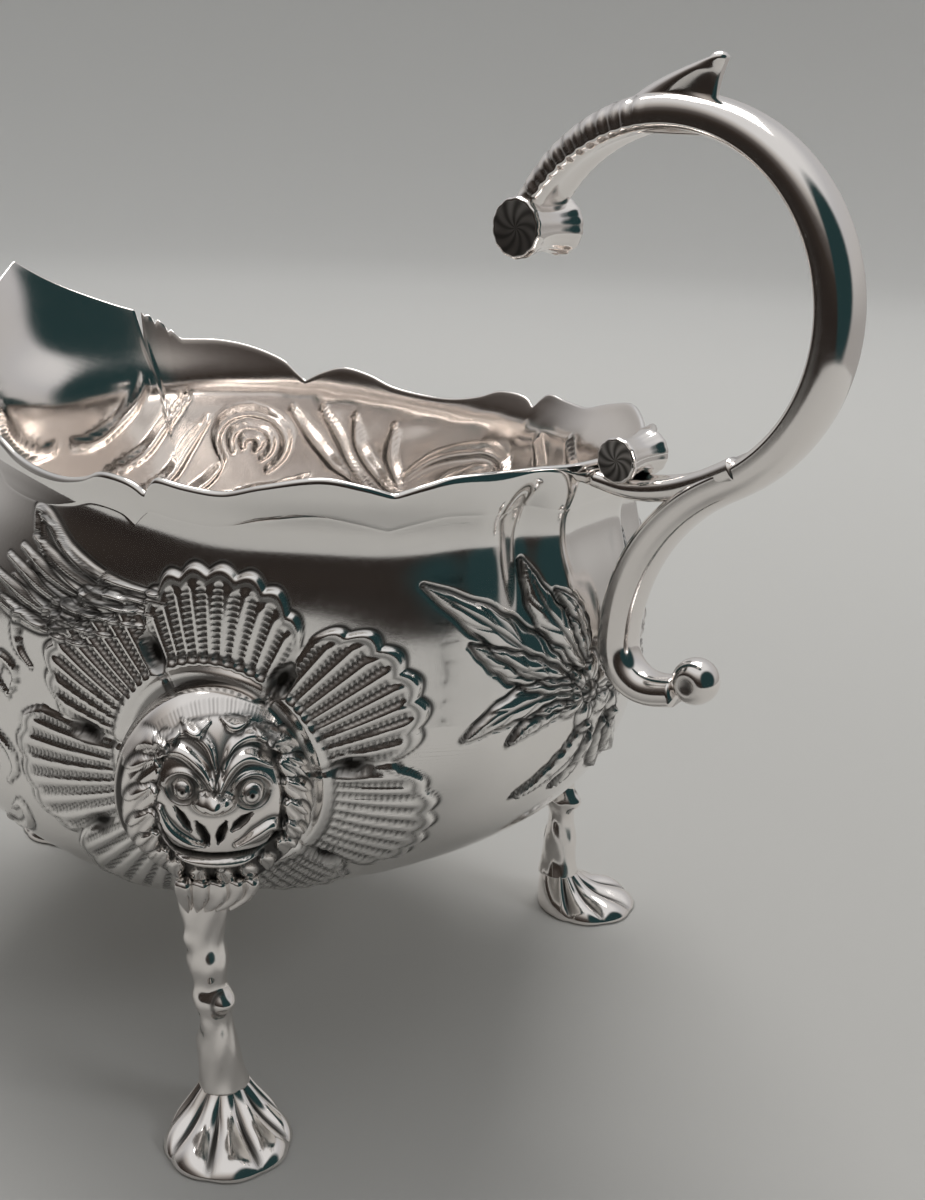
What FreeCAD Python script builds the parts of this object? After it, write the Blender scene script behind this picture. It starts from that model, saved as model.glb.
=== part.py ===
import FreeCAD, Part

# A three-legged silver sauce boat: a raised sheet bowl with a waved rim and a pouring lip, three cast
# legs with lion masks and web feet, and a cast flying scroll handle with its rim bracket and thumb
# spur.  Frame: +X towards the handle, +Z up, and the XZ plane is the plane of symmetry.  The origin is
# on the ground, below the middle of the overall length.  Sizes are in millimetres.

import math
import os

import Sketcher

V = FreeCAD.Vector
NONE_LEFT = 1e-6  # a bulge below this is straight
SAME_PLACE = 1e-4  # points nearer than this are one point

os.makedirs("parts", exist_ok=True)
doc = FreeCAD.newDocument("sauce_boat")

# ---------------------------------------------------------------------------------------- sizes
SIZES = {
    # bowl: four named levels, each with a height above the ground, a half width, a reach from the
    # rim's widest place to the handle end and to the lip, and how far to the lip it is widest itself;
    # the heights stack up from the belly, and the reaches to the lip are set in from the crest's
    "keel_height": 21.8,
    "belly_height": 64.6,
    "belly_half_width": 49.2,
    "belly_handle_reach": 49.4,
    "belly_lip_set_in": 12.0,
    "belly_lip_reach": "=crest_lip_reach - belly_lip_set_in",
    "belly_shift": 20.0,
    "neck_rise": 25.4,
    "neck_height": "=belly_height + neck_rise",
    "neck_half_width": 44.8,
    "neck_handle_reach": 45.7,
    "neck_lip_set_in": 12.0,
    "neck_lip_reach": "=crest_lip_reach - neck_lip_set_in",
    "neck_shift": 8.0,
    "rim_rise": 5.0,
    "rim_height": "=belly_height + neck_rise + rim_rise",
    "rim_half_width": 46.3,
    "rim_handle_reach": 47.5,
    "rim_lip_set_in": 8.0,
    "rim_lip_reach": "=crest_lip_reach - rim_lip_set_in",
    "rim_shift": 0.0,
    "crest_rise": 18.0,
    "crest_height": "=belly_height + neck_rise + rim_rise + crest_rise",
    "crest_half_width": 47.6,
    "crest_handle_reach": 48.8,
    "crest_lip_reach": 86.0,
    "crest_shift": 0.0,
    # how square the curve from the belly to the keel is: 2 is an ellipse
    "side_fullness": 3.7,
    "handle_fullness": 2.05,
    "lip_fullness": 3.1,
    "wall": 1.0,
    # waved rim: heights over or under the rim height, and how far its scallops bulge
    "handle_end_rise": 4.4,
    "handle_notch_rise": 1.8,
    "wave_rise": 2.4,
    "side_notch_drop": 1.6,
    "dip_drop": 1.4,
    "lip_notch_rise": 3.6,
    "lip_step_rise": 8.6,
    "wave_bulge": 1.8,
    # places of the rim's scallops, as shares of the reach to the handle end, then of the reach to the lip
    "end_rise_share": 0.9,
    "end_notch_share": 0.747,
    "wave_top_share": 0.463,
    "wave_side_share": 0.2,
    "side_notch_share": 0.076,
    "first_dip_share": 0.1,
    "second_dip_share": 0.35,
    "last_dip_share": 0.52,
    "lip_notch_share": 0.842,
    # the lip's gable: half widths of its notch and of its step, as shares of the crest's half width
    "gable_notch_share": 0.53,
    "gable_step_share": 0.42,
    # how far the trimming solids stand past the bowl
    "trim_margin": 20.0,
    # handle: a loop that flies over the rim, a tail down to the belly, and a curl below it
    "loop_set_out": 5.8,
    "loop_clearance": 2.0,
    "loop_radius": 24.0,
    "loop_start_angle": 156.0,
    "loop_end_angle": -62.0,
    "tail_bite": 0.9,
    "curl_radius": 6.5,
    "curl_turn": 105.0,
    "curl_run": 2.8,
    "scroll_half_width": 4.4,
    "scroll_half_depth": 2.9,
    "top_roll_radius": 4.4,
    "top_roll_length": 11.4,
    "end_knob_radius": 3.4,
    # bracket from the scroll to the rim
    "bracket_half_width": 3.9,
    "bracket_half_depth": 1.7,
    "bracket_sag": 1.8,
    "bracket_drop_share": 1.1,
    "bracket_root_angle": -56.0,
    "rim_roll_radius": 3.7,
    "rim_roll_length": 9.6,
    "rim_roll_set_out": 4.6,
    "rim_roll_rise": 1.6,
    # thumb spur on the loop's back
    "spur_start_angle": 113.0,
    "spur_end_angle": 81.5,
    "spur_height": 5.6,
    "spur_width": 4.6,
    "spur_tip": 1.6,
    "spur_heel_share": 0.9,
    # legs: place of the ankle, and the shape from the mask down to the foot
    "side_leg_x": 16.5,
    "side_leg_set_in": 6.0,
    "side_leg_angle": 38.0,
    "lip_leg_set_in": 3.6,
    "mask_drop": 10.0,
    "mask_half_width": 14.2,
    "mask_half_height": 15.2,
    "mask_depth": 8.6,
    "stem_radius": 2.8,
    "ankle_share": 0.9,
    "beard_share": 1.25,
    "stem_top_share": 2.4,
    "beard_set_in_share": 0.8,
    "stem_bite": 5.8,
    "stem_waist_height": 20.0,
    "stem_waist_set_in": 4.5,
    "beard_length": 18.0,
    "ankle_height": 5.0,
    "foot_length": 15.5,
    "foot_half_width": 9.0,
    "foot_toe_share": 0.72,
    "foot_dome_length_share": 1.1,
    "foot_dome_width_share": 1.2,
    "foot_heel": 3.6,
    "heel_half_width": 3.6,
    "toe_bulge": 2.6,
    "instep_height": 8.0,
}

sheet = doc.addObject("Spreadsheet::Sheet", "Sizes")
for row, alias in enumerate(SIZES, start=1):
    sheet.set(f"A{row}", alias)
    sheet.setAlias(f"B{row}", alias)
for row, number in enumerate(SIZES.values(), start=1):
    sheet.set(f"B{row}", str(number))
doc.recompute()


def size(formula):
    """The number that a formula over the sheet's aliases stands for."""
    found = sheet.evalExpression(formula)
    return float(getattr(found, "Value", found))


def cells(formula):
    """The formula with each alias written as a cell of the sheet, for use outside the sheet."""
    words = []
    word = ""
    for letter in formula + " ":
        if letter.isalnum() or letter in "_.":
            word += letter
            continue
        words.append("Sizes." + word if word in SIZES else word)
        words.append(letter)
        word = ""
    return "".join(words).strip()


def bind(thing, **formulas):
    """Binds properties of an object to formulas over the sheet; two underscores stand for a dot."""
    for name, formula in formulas.items():
        thing.setExpression(name.replace("__", "."), cells(formula))


def sketch_on(name, upright):
    """A sketch in the XZ plane when upright, otherwise in the XY plane."""
    sketch = doc.addObject("Sketcher::SketchObject", name)
    if upright:
        sketch.Placement = FreeCAD.Placement(V(0, 0, 0), FreeCAD.Rotation(V(1, 0, 0), 90))
    return sketch


def constrain(sketch, rule, *where, formula=None):
    """Adds one constraint, bound to a formula when it has one."""
    values = (size(formula),) if formula else ()
    index = sketch.addConstraint(Sketcher.Constraint(rule, *where, *values))
    if formula:
        sketch.setExpression(f"Constraints[{index}]", cells(formula))


def outline(name, corners, upright=True, closed=True):
    """A sketch of straight and round stretches.

    Each corner is (x, y, bulge) in formulas: the bulge is how far the stretch that leaves the corner
    stands to the left of its chord, and "0" makes it straight.
    """
    sketch = sketch_on(name, upright)
    points = [V(size(x), size(y), 0) for x, y, _ in corners]
    count = len(corners) if closed else len(corners) - 1
    ends = []
    for i in range(count):
        j = (i + 1) % len(corners)
        a, b = points[i], points[j]
        bulge = size(corners[i][2])
        chord = b - a
        if abs(bulge) < NONE_LEFT:
            geometry = sketch.addGeometry(Part.LineSegment(a, b), False)
        else:
            left = V(-chord.y, chord.x, 0).normalize()
            geometry = sketch.addGeometry(Part.Arc(a, (a + b) / 2 + left * bulge, b), False)
        first = sketch.getPoint(geometry, 1)
        ends.append((geometry, 1, 2) if (first - a).Length < SAME_PLACE else (geometry, 2, 1))
    for i, (geometry, start, end) in enumerate(ends):
        x, y, bulge = corners[i]
        constrain(sketch, "DistanceX", -1, 1, geometry, start, formula=x)
        constrain(sketch, "DistanceY", -1, 1, geometry, start, formula=y)
        j = (i + 1) % len(corners)
        if j < len(ends):
            constrain(sketch, "Coincident", geometry, end, ends[j][0], ends[j][1])
        else:
            constrain(sketch, "DistanceX", -1, 1, geometry, end, formula=corners[j][0])
            constrain(sketch, "DistanceY", -1, 1, geometry, end, formula=corners[j][1])
        if abs(size(bulge)) > NONE_LEFT:
            run = f"(({corners[j][0]}) - ({x}))"
            climb = f"(({corners[j][1]}) - ({y}))"
            chord = f"({run} * {run} + {climb} * {climb})"
            radius = f"({chord} / 4 + ({bulge}) * ({bulge})) / (2 * abs({bulge}))"
            constrain(sketch, "Radius", geometry, formula=radius)
    return sketch


def egg_section(name, height, half_width, handle_reach, lip_reach, shift, inset="0"):
    """A level section of the bowl: half an ellipse to the handle and half an ellipse to the lip."""
    sketch = sketch_on(name, upright=False)
    bind(sketch, Placement__Base__z=height, Placement__Base__x=f"-({shift})")
    width = f"({half_width}) - ({inset})"
    x_axis, y_axis = -1, -2
    for quarter in range(4):
        length = f"({lip_reach}) - ({inset})" if quarter in (1, 2) else f"({handle_reach}) - ({inset})"
        start = quarter * math.pi / 2
        along_y = size(width) > size(length)
        if along_y:
            ellipse = Part.Ellipse(V(0, size(width), 0), V(-size(length), 0, 0), V(0, 0, 0))
            start = start - math.pi / 2
        else:
            ellipse = Part.Ellipse(V(size(length), 0, 0), V(0, size(width), 0), V(0, 0, 0))
        arc = sketch.addGeometry(Part.ArcOfEllipse(ellipse, start, start + math.pi / 2), False)
        sketch.exposeInternalGeometry(arc)
        major, minor = arc + 1, arc + 2
        first, last = (x_axis, y_axis) if quarter % 2 == 0 else (y_axis, x_axis)
        longest, shortest = (width, length) if along_y else (length, width)
        constrain(sketch, "Coincident", arc, 3, -1, 1)
        constrain(sketch, "PointOnObject", major, 1, y_axis if along_y else x_axis)
        constrain(sketch, "Distance", major, formula=f"2 * ({longest})")
        constrain(sketch, "Distance", minor, formula=f"2 * ({shortest})")
        constrain(sketch, "PointOnObject", arc, 1, first)
        constrain(sketch, "PointOnObject", arc, 2, last)
    return sketch


def loft(name, sections):
    made = doc.addObject("Part::Loft", name)
    made.Sections = sections
    made.Solid = True
    made.Ruled = False
    return made


def sweep(name, path, section):
    made = doc.addObject("Part::Sweep", name)
    made.Sections = [section]
    made.Spine = (path, [f"Edge{i + 1}" for i in range(len(path.Shape.Edges))])
    made.Solid = True
    made.Frenet = False
    made.Transition = "Right corner"
    return made


def fuse(name, shapes):
    made = doc.addObject("Part::MultiFuse", name)
    made.Shapes = shapes
    made.Refine = False
    return made


def cut(name, base, tool):
    made = doc.addObject("Part::Cut", name)
    made.Base = base
    made.Tool = tool
    return made


def slab(name, outline_sketch, width):
    """An outline in the XZ plane given a width, half to each side."""
    made = doc.addObject("Part::Extrusion", name)
    made.Base = outline_sketch
    made.DirMode = "Normal"
    made.Solid = True
    made.Symmetric = True
    bind(made, LengthFwd=width)
    return made


def roll(name, x, z, radius, length):
    """A cylinder across the handle, its axis along Y."""
    made = doc.addObject("Part::Cylinder", name)
    made.Placement = FreeCAD.Placement(V(0, 0, 0), FreeCAD.Rotation(V(1, 0, 0), 90))
    bind(
        made,
        Radius=radius,
        Height=length,
        Placement__Base__x=x,
        Placement__Base__y=f"({length}) / 2",
        Placement__Base__z=z,
    )
    return made


# ---------------------------------------------------------------------------------------- bowl
LOWER_ANGLES = (80, 62, 45, 30, 15)
# above the belly each level is part of the way from one named level to the next; the last one is past
# the lip, where the rim trimmer takes it off
UPPER_STEPS = (
    ("belly", "neck", 0.0),
    ("belly", "neck", 0.5),
    ("neck", "rim", 0.0),
    ("neck", "rim", 1.0),
    ("rim", "crest", 0.333),
    ("rim", "crest", 0.667),
    ("rim", "crest", 1.0),
    ("rim", "crest", 1.333),
)


def bowl_levels():
    """(height, half width, handle reach, lip reach, shift, share of the wall taken sideways).

    The reaches are from the level's own widest place.
    """
    levels = []
    for angle in LOWER_ANGLES:
        low = f"sin({angle} deg) ^ (2 / side_fullness)"
        spread = {
            kind: f"(1 - ({low}) ^ {kind}_fullness) ^ (1 / {kind}_fullness)"
            for kind in ("side", "handle", "lip")
        }
        levels.append(
            (
                f"belly_height - (belly_height - keel_height) * {low}",
                f"belly_half_width * {spread['side']}",
                f"(belly_handle_reach + belly_shift) * {spread['handle']}",
                f"(belly_lip_reach - belly_shift) * {spread['lip']}",
                "belly_shift",
                math.cos(math.radians(angle)),
            )
        )
    for low, high, share in UPPER_STEPS:
        mixed = {
            kind: f"({1 - share:.3f} * {low}_{kind} + {share:.3f} * {high}_{kind})"
            for kind in ("height", "half_width", "handle_reach", "lip_reach", "shift")
        }
        handle_reach = f"{mixed['handle_reach']} + {mixed['shift']}"
        lip_reach = f"{mixed['lip_reach']} - {mixed['shift']}"
        shape = (mixed["half_width"], handle_reach, lip_reach, mixed["shift"])
        levels.append((mixed["height"], *shape, 1.0))
    return levels


outer_sections = []
inner_sections = []
for i, (height, *shape, side_share) in enumerate(bowl_levels()):
    outer_sections.append(egg_section(f"outer_{i}", height, *shape))
    lift = f"{height} + wall * {math.sqrt(1 - side_share ** 2):.3f}"
    inner_sections.append(egg_section(f"inner_{i}", lift, *shape, f"wall * {side_share:.3f}"))
doc.recompute()
bowl_outer = loft("bowl_outer", outer_sections)
bowl_inner = loft("bowl_inner", inner_sections)

# Past the lip notch the rim climbs to a point, and its height follows the distance from the middle:
# (distance from the middle, height, bulge).
LIP_GABLE = (
    ("-gable_notch_share * crest_half_width", "rim_height + lip_notch_rise", "0.6 * wave_bulge"),
    ("-gable_step_share * crest_half_width", "rim_height + lip_step_rise", "-0.6 * wave_bulge"),
    ("0", "crest_height", "-0.6 * wave_bulge"),
    ("gable_step_share * crest_half_width", "rim_height + lip_step_rise", "0.6 * wave_bulge"),
    ("gable_notch_share * crest_half_width", "rim_height + lip_notch_rise", "0"),
)
LIP_NOTCH_X = "(lip_notch_share * crest_lip_reach)"
MARGIN = "trim_margin"

# The waved rim, from the handle end to the lip: (place along the bowl, height, bulge of the stretch
# that leaves it).  Places are shares of the reach, so that the scallops stay on the bowl.
RIM_WAVE = (
    ("end_rise_share * rim_handle_reach", "rim_height + handle_end_rise", "-0.3 * wave_bulge"),
    ("end_notch_share * rim_handle_reach", "rim_height + handle_notch_rise", "-wave_bulge"),
    ("wave_top_share * rim_handle_reach", "rim_height + wave_rise", "0.45 * wave_bulge"),
    ("wave_side_share * rim_handle_reach", "rim_height + 0.4 * wave_rise", "-0.7 * wave_bulge"),
    ("side_notch_share * rim_handle_reach", "rim_height - side_notch_drop", "-0.9 * wave_bulge"),
    ("-first_dip_share * crest_lip_reach", "rim_height - dip_drop", "0.7 * wave_bulge"),
    ("-second_dip_share * crest_lip_reach", "rim_height - dip_drop", "-1.3 * wave_bulge"),
    ("-last_dip_share * crest_lip_reach", "rim_height - 2 * dip_drop", "-1.7 * wave_bulge"),
    (f"-{LIP_NOTCH_X}", "rim_height + lip_notch_rise", "0"),
    (f"-{LIP_NOTCH_X}", "crest_height", "0"),
)
beyond_handle_end = f"rim_handle_reach + {MARGIN}"
beyond_lip = f"-crest_lip_reach - {MARGIN}"
above_crest = f"crest_height + 2 * {MARGIN}"
rim_corners = [(beyond_handle_end, "rim_height + handle_end_rise", "0")]
rim_corners += list(RIM_WAVE)
rim_corners += [
    (beyond_lip, "crest_height", "0"),
    (beyond_lip, above_crest, "0"),
    (beyond_handle_end, above_crest, "0"),
]
rim_trimmer = slab("rim_trimmer", outline("rim_wave", rim_corners), "4 * crest_half_width")
gable_corners = list(LIP_GABLE)
gable_corners += [
    ("2 * crest_half_width", "rim_height + lip_notch_rise", "0"),
    ("2 * crest_half_width", above_crest, "0"),
    ("-2 * crest_half_width", above_crest, "0"),
    ("-2 * crest_half_width", "rim_height + lip_notch_rise", "0"),
]
lip_outline = outline("lip_gable", gable_corners)
lip_outline.Placement.Rotation = FreeCAD.Rotation(V(0, -1, 0), V(0, 0, 1), V(-1, 0, 0), "XYZ")
bind(lip_outline, Placement__Base__x=f"-{LIP_NOTCH_X}")
lip_trimmer = doc.addObject("Part::Extrusion", "lip_trimmer")
lip_trimmer.Base = lip_outline
lip_trimmer.DirMode = "Normal"
lip_trimmer.Solid = True
bind(lip_trimmer, LengthFwd="crest_lip_reach")
trimmers = fuse("trimmers", [rim_trimmer, lip_trimmer])
bowl_walls = cut("bowl_walls", bowl_outer, bowl_inner)
bowl = cut("bowl", bowl_walls, trimmers)

# --------------------------------------------------------------------------------------- handle
LOOP_X = "(belly_handle_reach + loop_set_out)"
LOOP_Z = "(rim_height + loop_clearance + loop_radius)"
OVERALL_HANDLE_REACH = f"({LOOP_X} + loop_radius + scroll_half_depth)"


def loop_point(angle, radius="loop_radius"):
    """A point round the loop's centre, at an angle in degrees given as a formula."""
    return (
        f"({LOOP_X} + ({radius}) * cos(({angle}) * 1 deg))",
        f"({LOOP_Z} + ({radius}) * sin(({angle}) * 1 deg))",
    )


def circle_bulge(radius, turn):
    """How far an arc of a radius and a turn in degrees stands off its chord."""
    return f"({radius}) * (1 - cos(({turn}) / 2 * 1 deg))"


# The tail leaves the loop in line with it and swings down until it bites into the belly, which sets
# its radius; the curl turns up from there.
loop_end = loop_point("loop_end_angle")
tail_end_x = "(belly_handle_reach + scroll_half_depth - tail_bite)"
tail_radius = f"(({loop_end[0]} - {tail_end_x}) / (1 - cos(loop_end_angle * 1 deg)))"
tail_end_z = f"({loop_end[1]} + {tail_radius} * sin(loop_end_angle * 1 deg))"
past_down = "(curl_turn - 90)"
curl_end = (
    f"({tail_end_x} + curl_radius * (1 + sin({past_down} * 1 deg)))",
    f"({tail_end_z} - curl_radius * cos({past_down} * 1 deg))",
)
run_end = (
    f"({curl_end[0]} + curl_run * cos({past_down} * 1 deg))",
    f"({curl_end[1]} + curl_run * sin({past_down} * 1 deg))",
)
scroll_path = outline(
    "scroll_path",
    [
        (*loop_point("loop_start_angle"), circle_bulge("loop_radius", "loop_start_angle - 90")),
        (*loop_point("90"), circle_bulge("loop_radius", "90")),
        (*loop_point("0"), circle_bulge("loop_radius", "loop_end_angle")),
        (*loop_end, f"-({circle_bulge(tail_radius, 'loop_end_angle')})"),
        (tail_end_x, tail_end_z, f"-({circle_bulge('curl_radius', 'curl_turn')})"),
        (*curl_end, "0"),
        (*run_end, "0"),
    ],
    closed=False,
)
bracket_root = loop_point("bracket_root_angle")
rim_roll_x = "(rim_handle_reach + rim_roll_set_out)"
rim_roll_z = "(rim_height + handle_end_rise + rim_roll_rise)"
bracket_end_x = "(rim_handle_reach - wall)"
bracket_end_z = "(rim_height + handle_end_rise - bracket_drop_share * bracket_half_depth)"
bracket_path = outline(
    "bracket_path",
    [(bracket_end_x, bracket_end_z, "-bracket_sag"), (*bracket_root, "0")],
    closed=False,
)
doc.recompute()


def cross_section(name, path, half_width, half_depth):
    """An ellipse square to the start of a path in the XZ plane, its long axis along Y."""
    first = path.Shape.Wires[0].OrderedEdges[0]
    start = first.valueAt(first.FirstParameter)
    along = first.tangentAt(first.FirstParameter)
    made = doc.addObject("Part::Ellipse", name)
    turned = FreeCAD.Rotation(V(0, 1, 0), V(0, 0, 0), along, "ZXY")
    made.Placement = FreeCAD.Placement(start, turned)
    bind(made, MajorRadius=half_width, MinorRadius=half_depth)
    return made


def band(name, path, half_width, half_depth):
    """A rod of elliptical section along a path."""
    return sweep(name, path, cross_section(name + "_section", path, half_width, half_depth))


scroll_band = band("scroll_band", scroll_path, "scroll_half_width", "scroll_half_depth")
top_roll = roll(
    "top_roll",
    *loop_point("loop_start_angle", "loop_radius - top_roll_radius / 3"),
    "top_roll_radius",
    "top_roll_length",
)
end_knob = roll(
    "end_knob",
    run_end[0],
    f"({run_end[1]} + end_knob_radius - scroll_half_depth)",
    "end_knob_radius",
    "2 * scroll_half_width",
)
scroll_whole = fuse("scroll_whole", [scroll_band, top_roll, end_knob])
handle_scroll = cut("handle_scroll", scroll_whole, bowl_outer)

bracket_band = band("bracket_band", bracket_path, "bracket_half_width", "bracket_half_depth")
rim_roll = roll("rim_roll", rim_roll_x, rim_roll_z, "rim_roll_radius", "rim_roll_length")
bracket_whole = fuse("bracket_whole", [bracket_band, rim_roll])
bracket_seat = fuse("bracket_seat", [scroll_whole, bowl_outer])
rim_bracket = cut("handle_rim_bracket", bracket_whole, bracket_seat)

spur_root = "loop_radius"
spur_heel = "loop_radius + spur_heel_share * scroll_half_depth"
spur_top = "loop_radius + scroll_half_depth + spur_height"
spur_corners = [
    (*loop_point("spur_start_angle", spur_root), "0"),
    (*loop_point("spur_start_angle", spur_heel), "-spur_tip / 2"),
    (*loop_point("spur_end_angle", spur_top), "spur_tip / 2"),
    (*loop_point("spur_end_angle - spur_tip", f"{spur_top} - spur_tip"), "-spur_tip / 2"),
    (*loop_point("spur_end_angle", spur_root), "0"),
]
spur_blade = slab("spur_blade", outline("spur_outline", spur_corners), "spur_width")
thumb_spur = cut("handle_thumb_spur", spur_blade, scroll_whole)

# ----------------------------------------------------------------------------------------- legs
MASK_Z = "(belly_height - mask_drop)"
BEARD_SET_IN = "beard_set_in_share * stem_waist_set_in"
STEM_TOP_HEIGHT = f"{MASK_Z} - mask_half_height + stem_bite"

# level rings of the stem, from inside the foot to inside the bowl: (set in, height, radius)
STEM_RINGS = (
    ("0", "ankle_height / 2", "stem_radius"),
    ("0", "ankle_height + stem_radius", "ankle_share * stem_radius"),
    ("stem_waist_set_in", "stem_waist_height", "stem_radius"),
    (BEARD_SET_IN, "stem_waist_height + beard_length / 2", "beard_share * stem_radius"),
    ("mask_depth / 8", STEM_TOP_HEIGHT, "stem_top_share * stem_radius"),
)


def leg(name, x, y, angle):
    """One casting, made pointing along +X from its ankle at the origin, then turned and moved."""
    rings = []
    for i, (set_in, height, radius) in enumerate(STEM_RINGS):
        ring = doc.addObject("Part::Circle", f"{name}_ring_{i}")
        bind(ring, Radius=radius, Placement__Base__x=f"-({set_in})", Placement__Base__z=height)
        rings.append(ring)
    stem = loft(name + "_stem", rings)
    mask = doc.addObject("Part::Ellipsoid", name + "_mask")
    bind(
        mask,
        Radius1="mask_half_height",
        Radius2="mask_depth",
        Radius3="mask_half_width",
        Placement__Base__z=MASK_Z,
    )
    heel, toe = "(-foot_heel)", "(foot_toe_share * foot_length)"
    fan = outline(
        name + "_foot_outline",
        [
            (heel, "-heel_half_width", "0"),
            (toe, "-foot_half_width", "-toe_bulge / 2"),
            ("foot_length", "0", "-toe_bulge / 2"),
            (toe, "foot_half_width", "0"),
            (heel, "heel_half_width", "-heel_half_width / 3"),
        ],
        upright=False,
    )
    prism = doc.addObject("Part::Extrusion", name + "_foot_prism")
    prism.Base = fan
    prism.DirMode = "Normal"
    prism.Solid = True
    bind(prism, LengthFwd="2 * instep_height")
    dome = doc.addObject("Part::Ellipsoid", name + "_foot_dome")
    bind(
        dome,
        Radius1="instep_height",
        Radius2="foot_length * foot_dome_length_share",
        Radius3="foot_half_width * foot_dome_width_share",
    )
    foot = doc.addObject("Part::Common", name + "_foot")
    foot.Base = prism
    foot.Tool = dome
    whole = fuse(name + "_whole", [stem, mask, foot])
    bind(
        whole,
        Placement__Base__x=x,
        Placement__Base__y=y,
        Placement__Rotation__Angle=f"({angle}) * 1 deg",
    )
    return cut(name, whole, bowl_outer)


side_leg_y = "(belly_half_width - side_leg_set_in)"
legs = [
    leg("leg_handle_near", "side_leg_x", f"-{side_leg_y}", "-side_leg_angle"),
    leg("leg_handle_far", "side_leg_x", side_leg_y, "side_leg_angle"),
    leg("leg_lip", "-(belly_lip_reach - lip_leg_set_in)", "0", "180"),
]

# --------------------------------------------------------------------------------------- export
SUB_PARTS = [bowl, handle_scroll, rim_bracket, thumb_spur, *legs]
for part in SUB_PARTS:
    part.Label = part.Name
    bind(part, Placement__Base__x=f"(crest_lip_reach - {OVERALL_HANDLE_REACH}) / 2")
doc.recompute()

failed = [thing.Name for thing in doc.Objects if {"Invalid", "Error"} & set(thing.State)]
if failed:
    raise RuntimeError(f"not made: {failed}")
for part in SUB_PARTS:
    if part.Shape.isNull() or not part.Shape.isValid() or len(part.Shape.Solids) != 1:
        raise RuntimeError(f"{part.Label} is not one valid solid")
    part.Shape.exportStep(f"parts/{part.Label}.step")
    box = part.Shape.optimalBoundingBox(True)
    spans = (box.XMin, box.XMax, box.YMin, box.YMax, box.ZMin, box.ZMax)
    print(part.Label, round(part.Shape.Volume), [round(span, 1) for span in spans])
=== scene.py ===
"""A silver sauce boat: a wavy-rimmed bowl chased with shells and sprays, a free-ended scroll handle,
and three legs with lion masks and web feet.

Lengths are in millimetres in the CAD model's frame until `place` turns them into metres.
"""

import math

import bpy
import numpy as np
from mathutils import Matrix


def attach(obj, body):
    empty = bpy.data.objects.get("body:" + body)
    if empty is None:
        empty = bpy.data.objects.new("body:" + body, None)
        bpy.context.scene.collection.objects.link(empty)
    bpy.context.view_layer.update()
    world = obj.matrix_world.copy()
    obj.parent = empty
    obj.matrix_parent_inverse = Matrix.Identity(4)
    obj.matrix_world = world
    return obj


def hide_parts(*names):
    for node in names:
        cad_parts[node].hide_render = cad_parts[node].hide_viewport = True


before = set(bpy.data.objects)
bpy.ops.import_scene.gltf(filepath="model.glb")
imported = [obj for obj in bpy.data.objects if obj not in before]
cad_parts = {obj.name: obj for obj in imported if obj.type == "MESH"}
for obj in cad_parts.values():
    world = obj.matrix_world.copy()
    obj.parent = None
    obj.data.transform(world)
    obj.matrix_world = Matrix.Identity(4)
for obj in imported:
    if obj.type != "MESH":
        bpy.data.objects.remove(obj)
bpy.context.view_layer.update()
MM = 0.001


# ------------------------------------------------------------------------------------- camera
def turned(azimuth, pitch, roll):
    """Camera axes for a view azimuth, a downward pitch and a clockwise roll, in degrees."""
    a, p, r = (math.radians(v) for v in (azimuth, pitch, roll))
    level_right = np.array([math.cos(a), math.sin(a), 0.0])
    forward = np.array([-math.sin(a) * math.cos(p), math.cos(a) * math.cos(p), -math.sin(p)])
    level_up = np.cross(level_right, forward)
    right = level_right * math.cos(r) + level_up * math.sin(r)
    up = -level_right * math.sin(r) + level_up * math.cos(r)
    return right, up, -forward


CAMERA_AT = (158.35, -172.1, 146.1)
lens = bpy.data.cameras.new("view_camera")
lens.lens = 45.0
lens.sensor_width = 36.0
lens.clip_start = 0.01
lens.clip_end = 60.0
camera = bpy.data.objects.new("view_camera", lens)
matrix = Matrix.Identity(4)
for column, axis in enumerate(turned(37.66, 18.56, 2.41)):
    for row in range(3):
        matrix[row][column] = axis[row]
for row in range(3):
    matrix[row][3] = CAMERA_AT[row] * MM
camera.matrix_world = matrix
bpy.context.scene.collection.objects.link(camera)
bpy.context.scene.camera = camera
bpy.context.scene.view_settings.view_transform = "Standard"


# -------------------------------------------------------------------------------------- tools
def smooth(edge0, edge1, value):
    """0 at the first edge and 1 at the second, with a soft step between them."""
    t = np.clip((value - edge0) / (edge1 - edge0), 0.0, 1.0)
    return t * t * (3.0 - 2.0 * t)


def bell(value, width):
    """1 at zero, falling away on both sides within about a width."""
    return np.exp(-((value / width) ** 2))


def circle(count):
    """Angles once round, with their cosines and sines."""
    psi = np.linspace(0, 2 * np.pi, count, endpoint=False)
    return psi, np.cos(psi), np.sin(psi)


def from_handle(theta):
    """An angle round the bowl, brought between -pi and pi; 0 is the handle's end."""
    return (theta + np.pi) % (2 * np.pi) - np.pi


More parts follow.
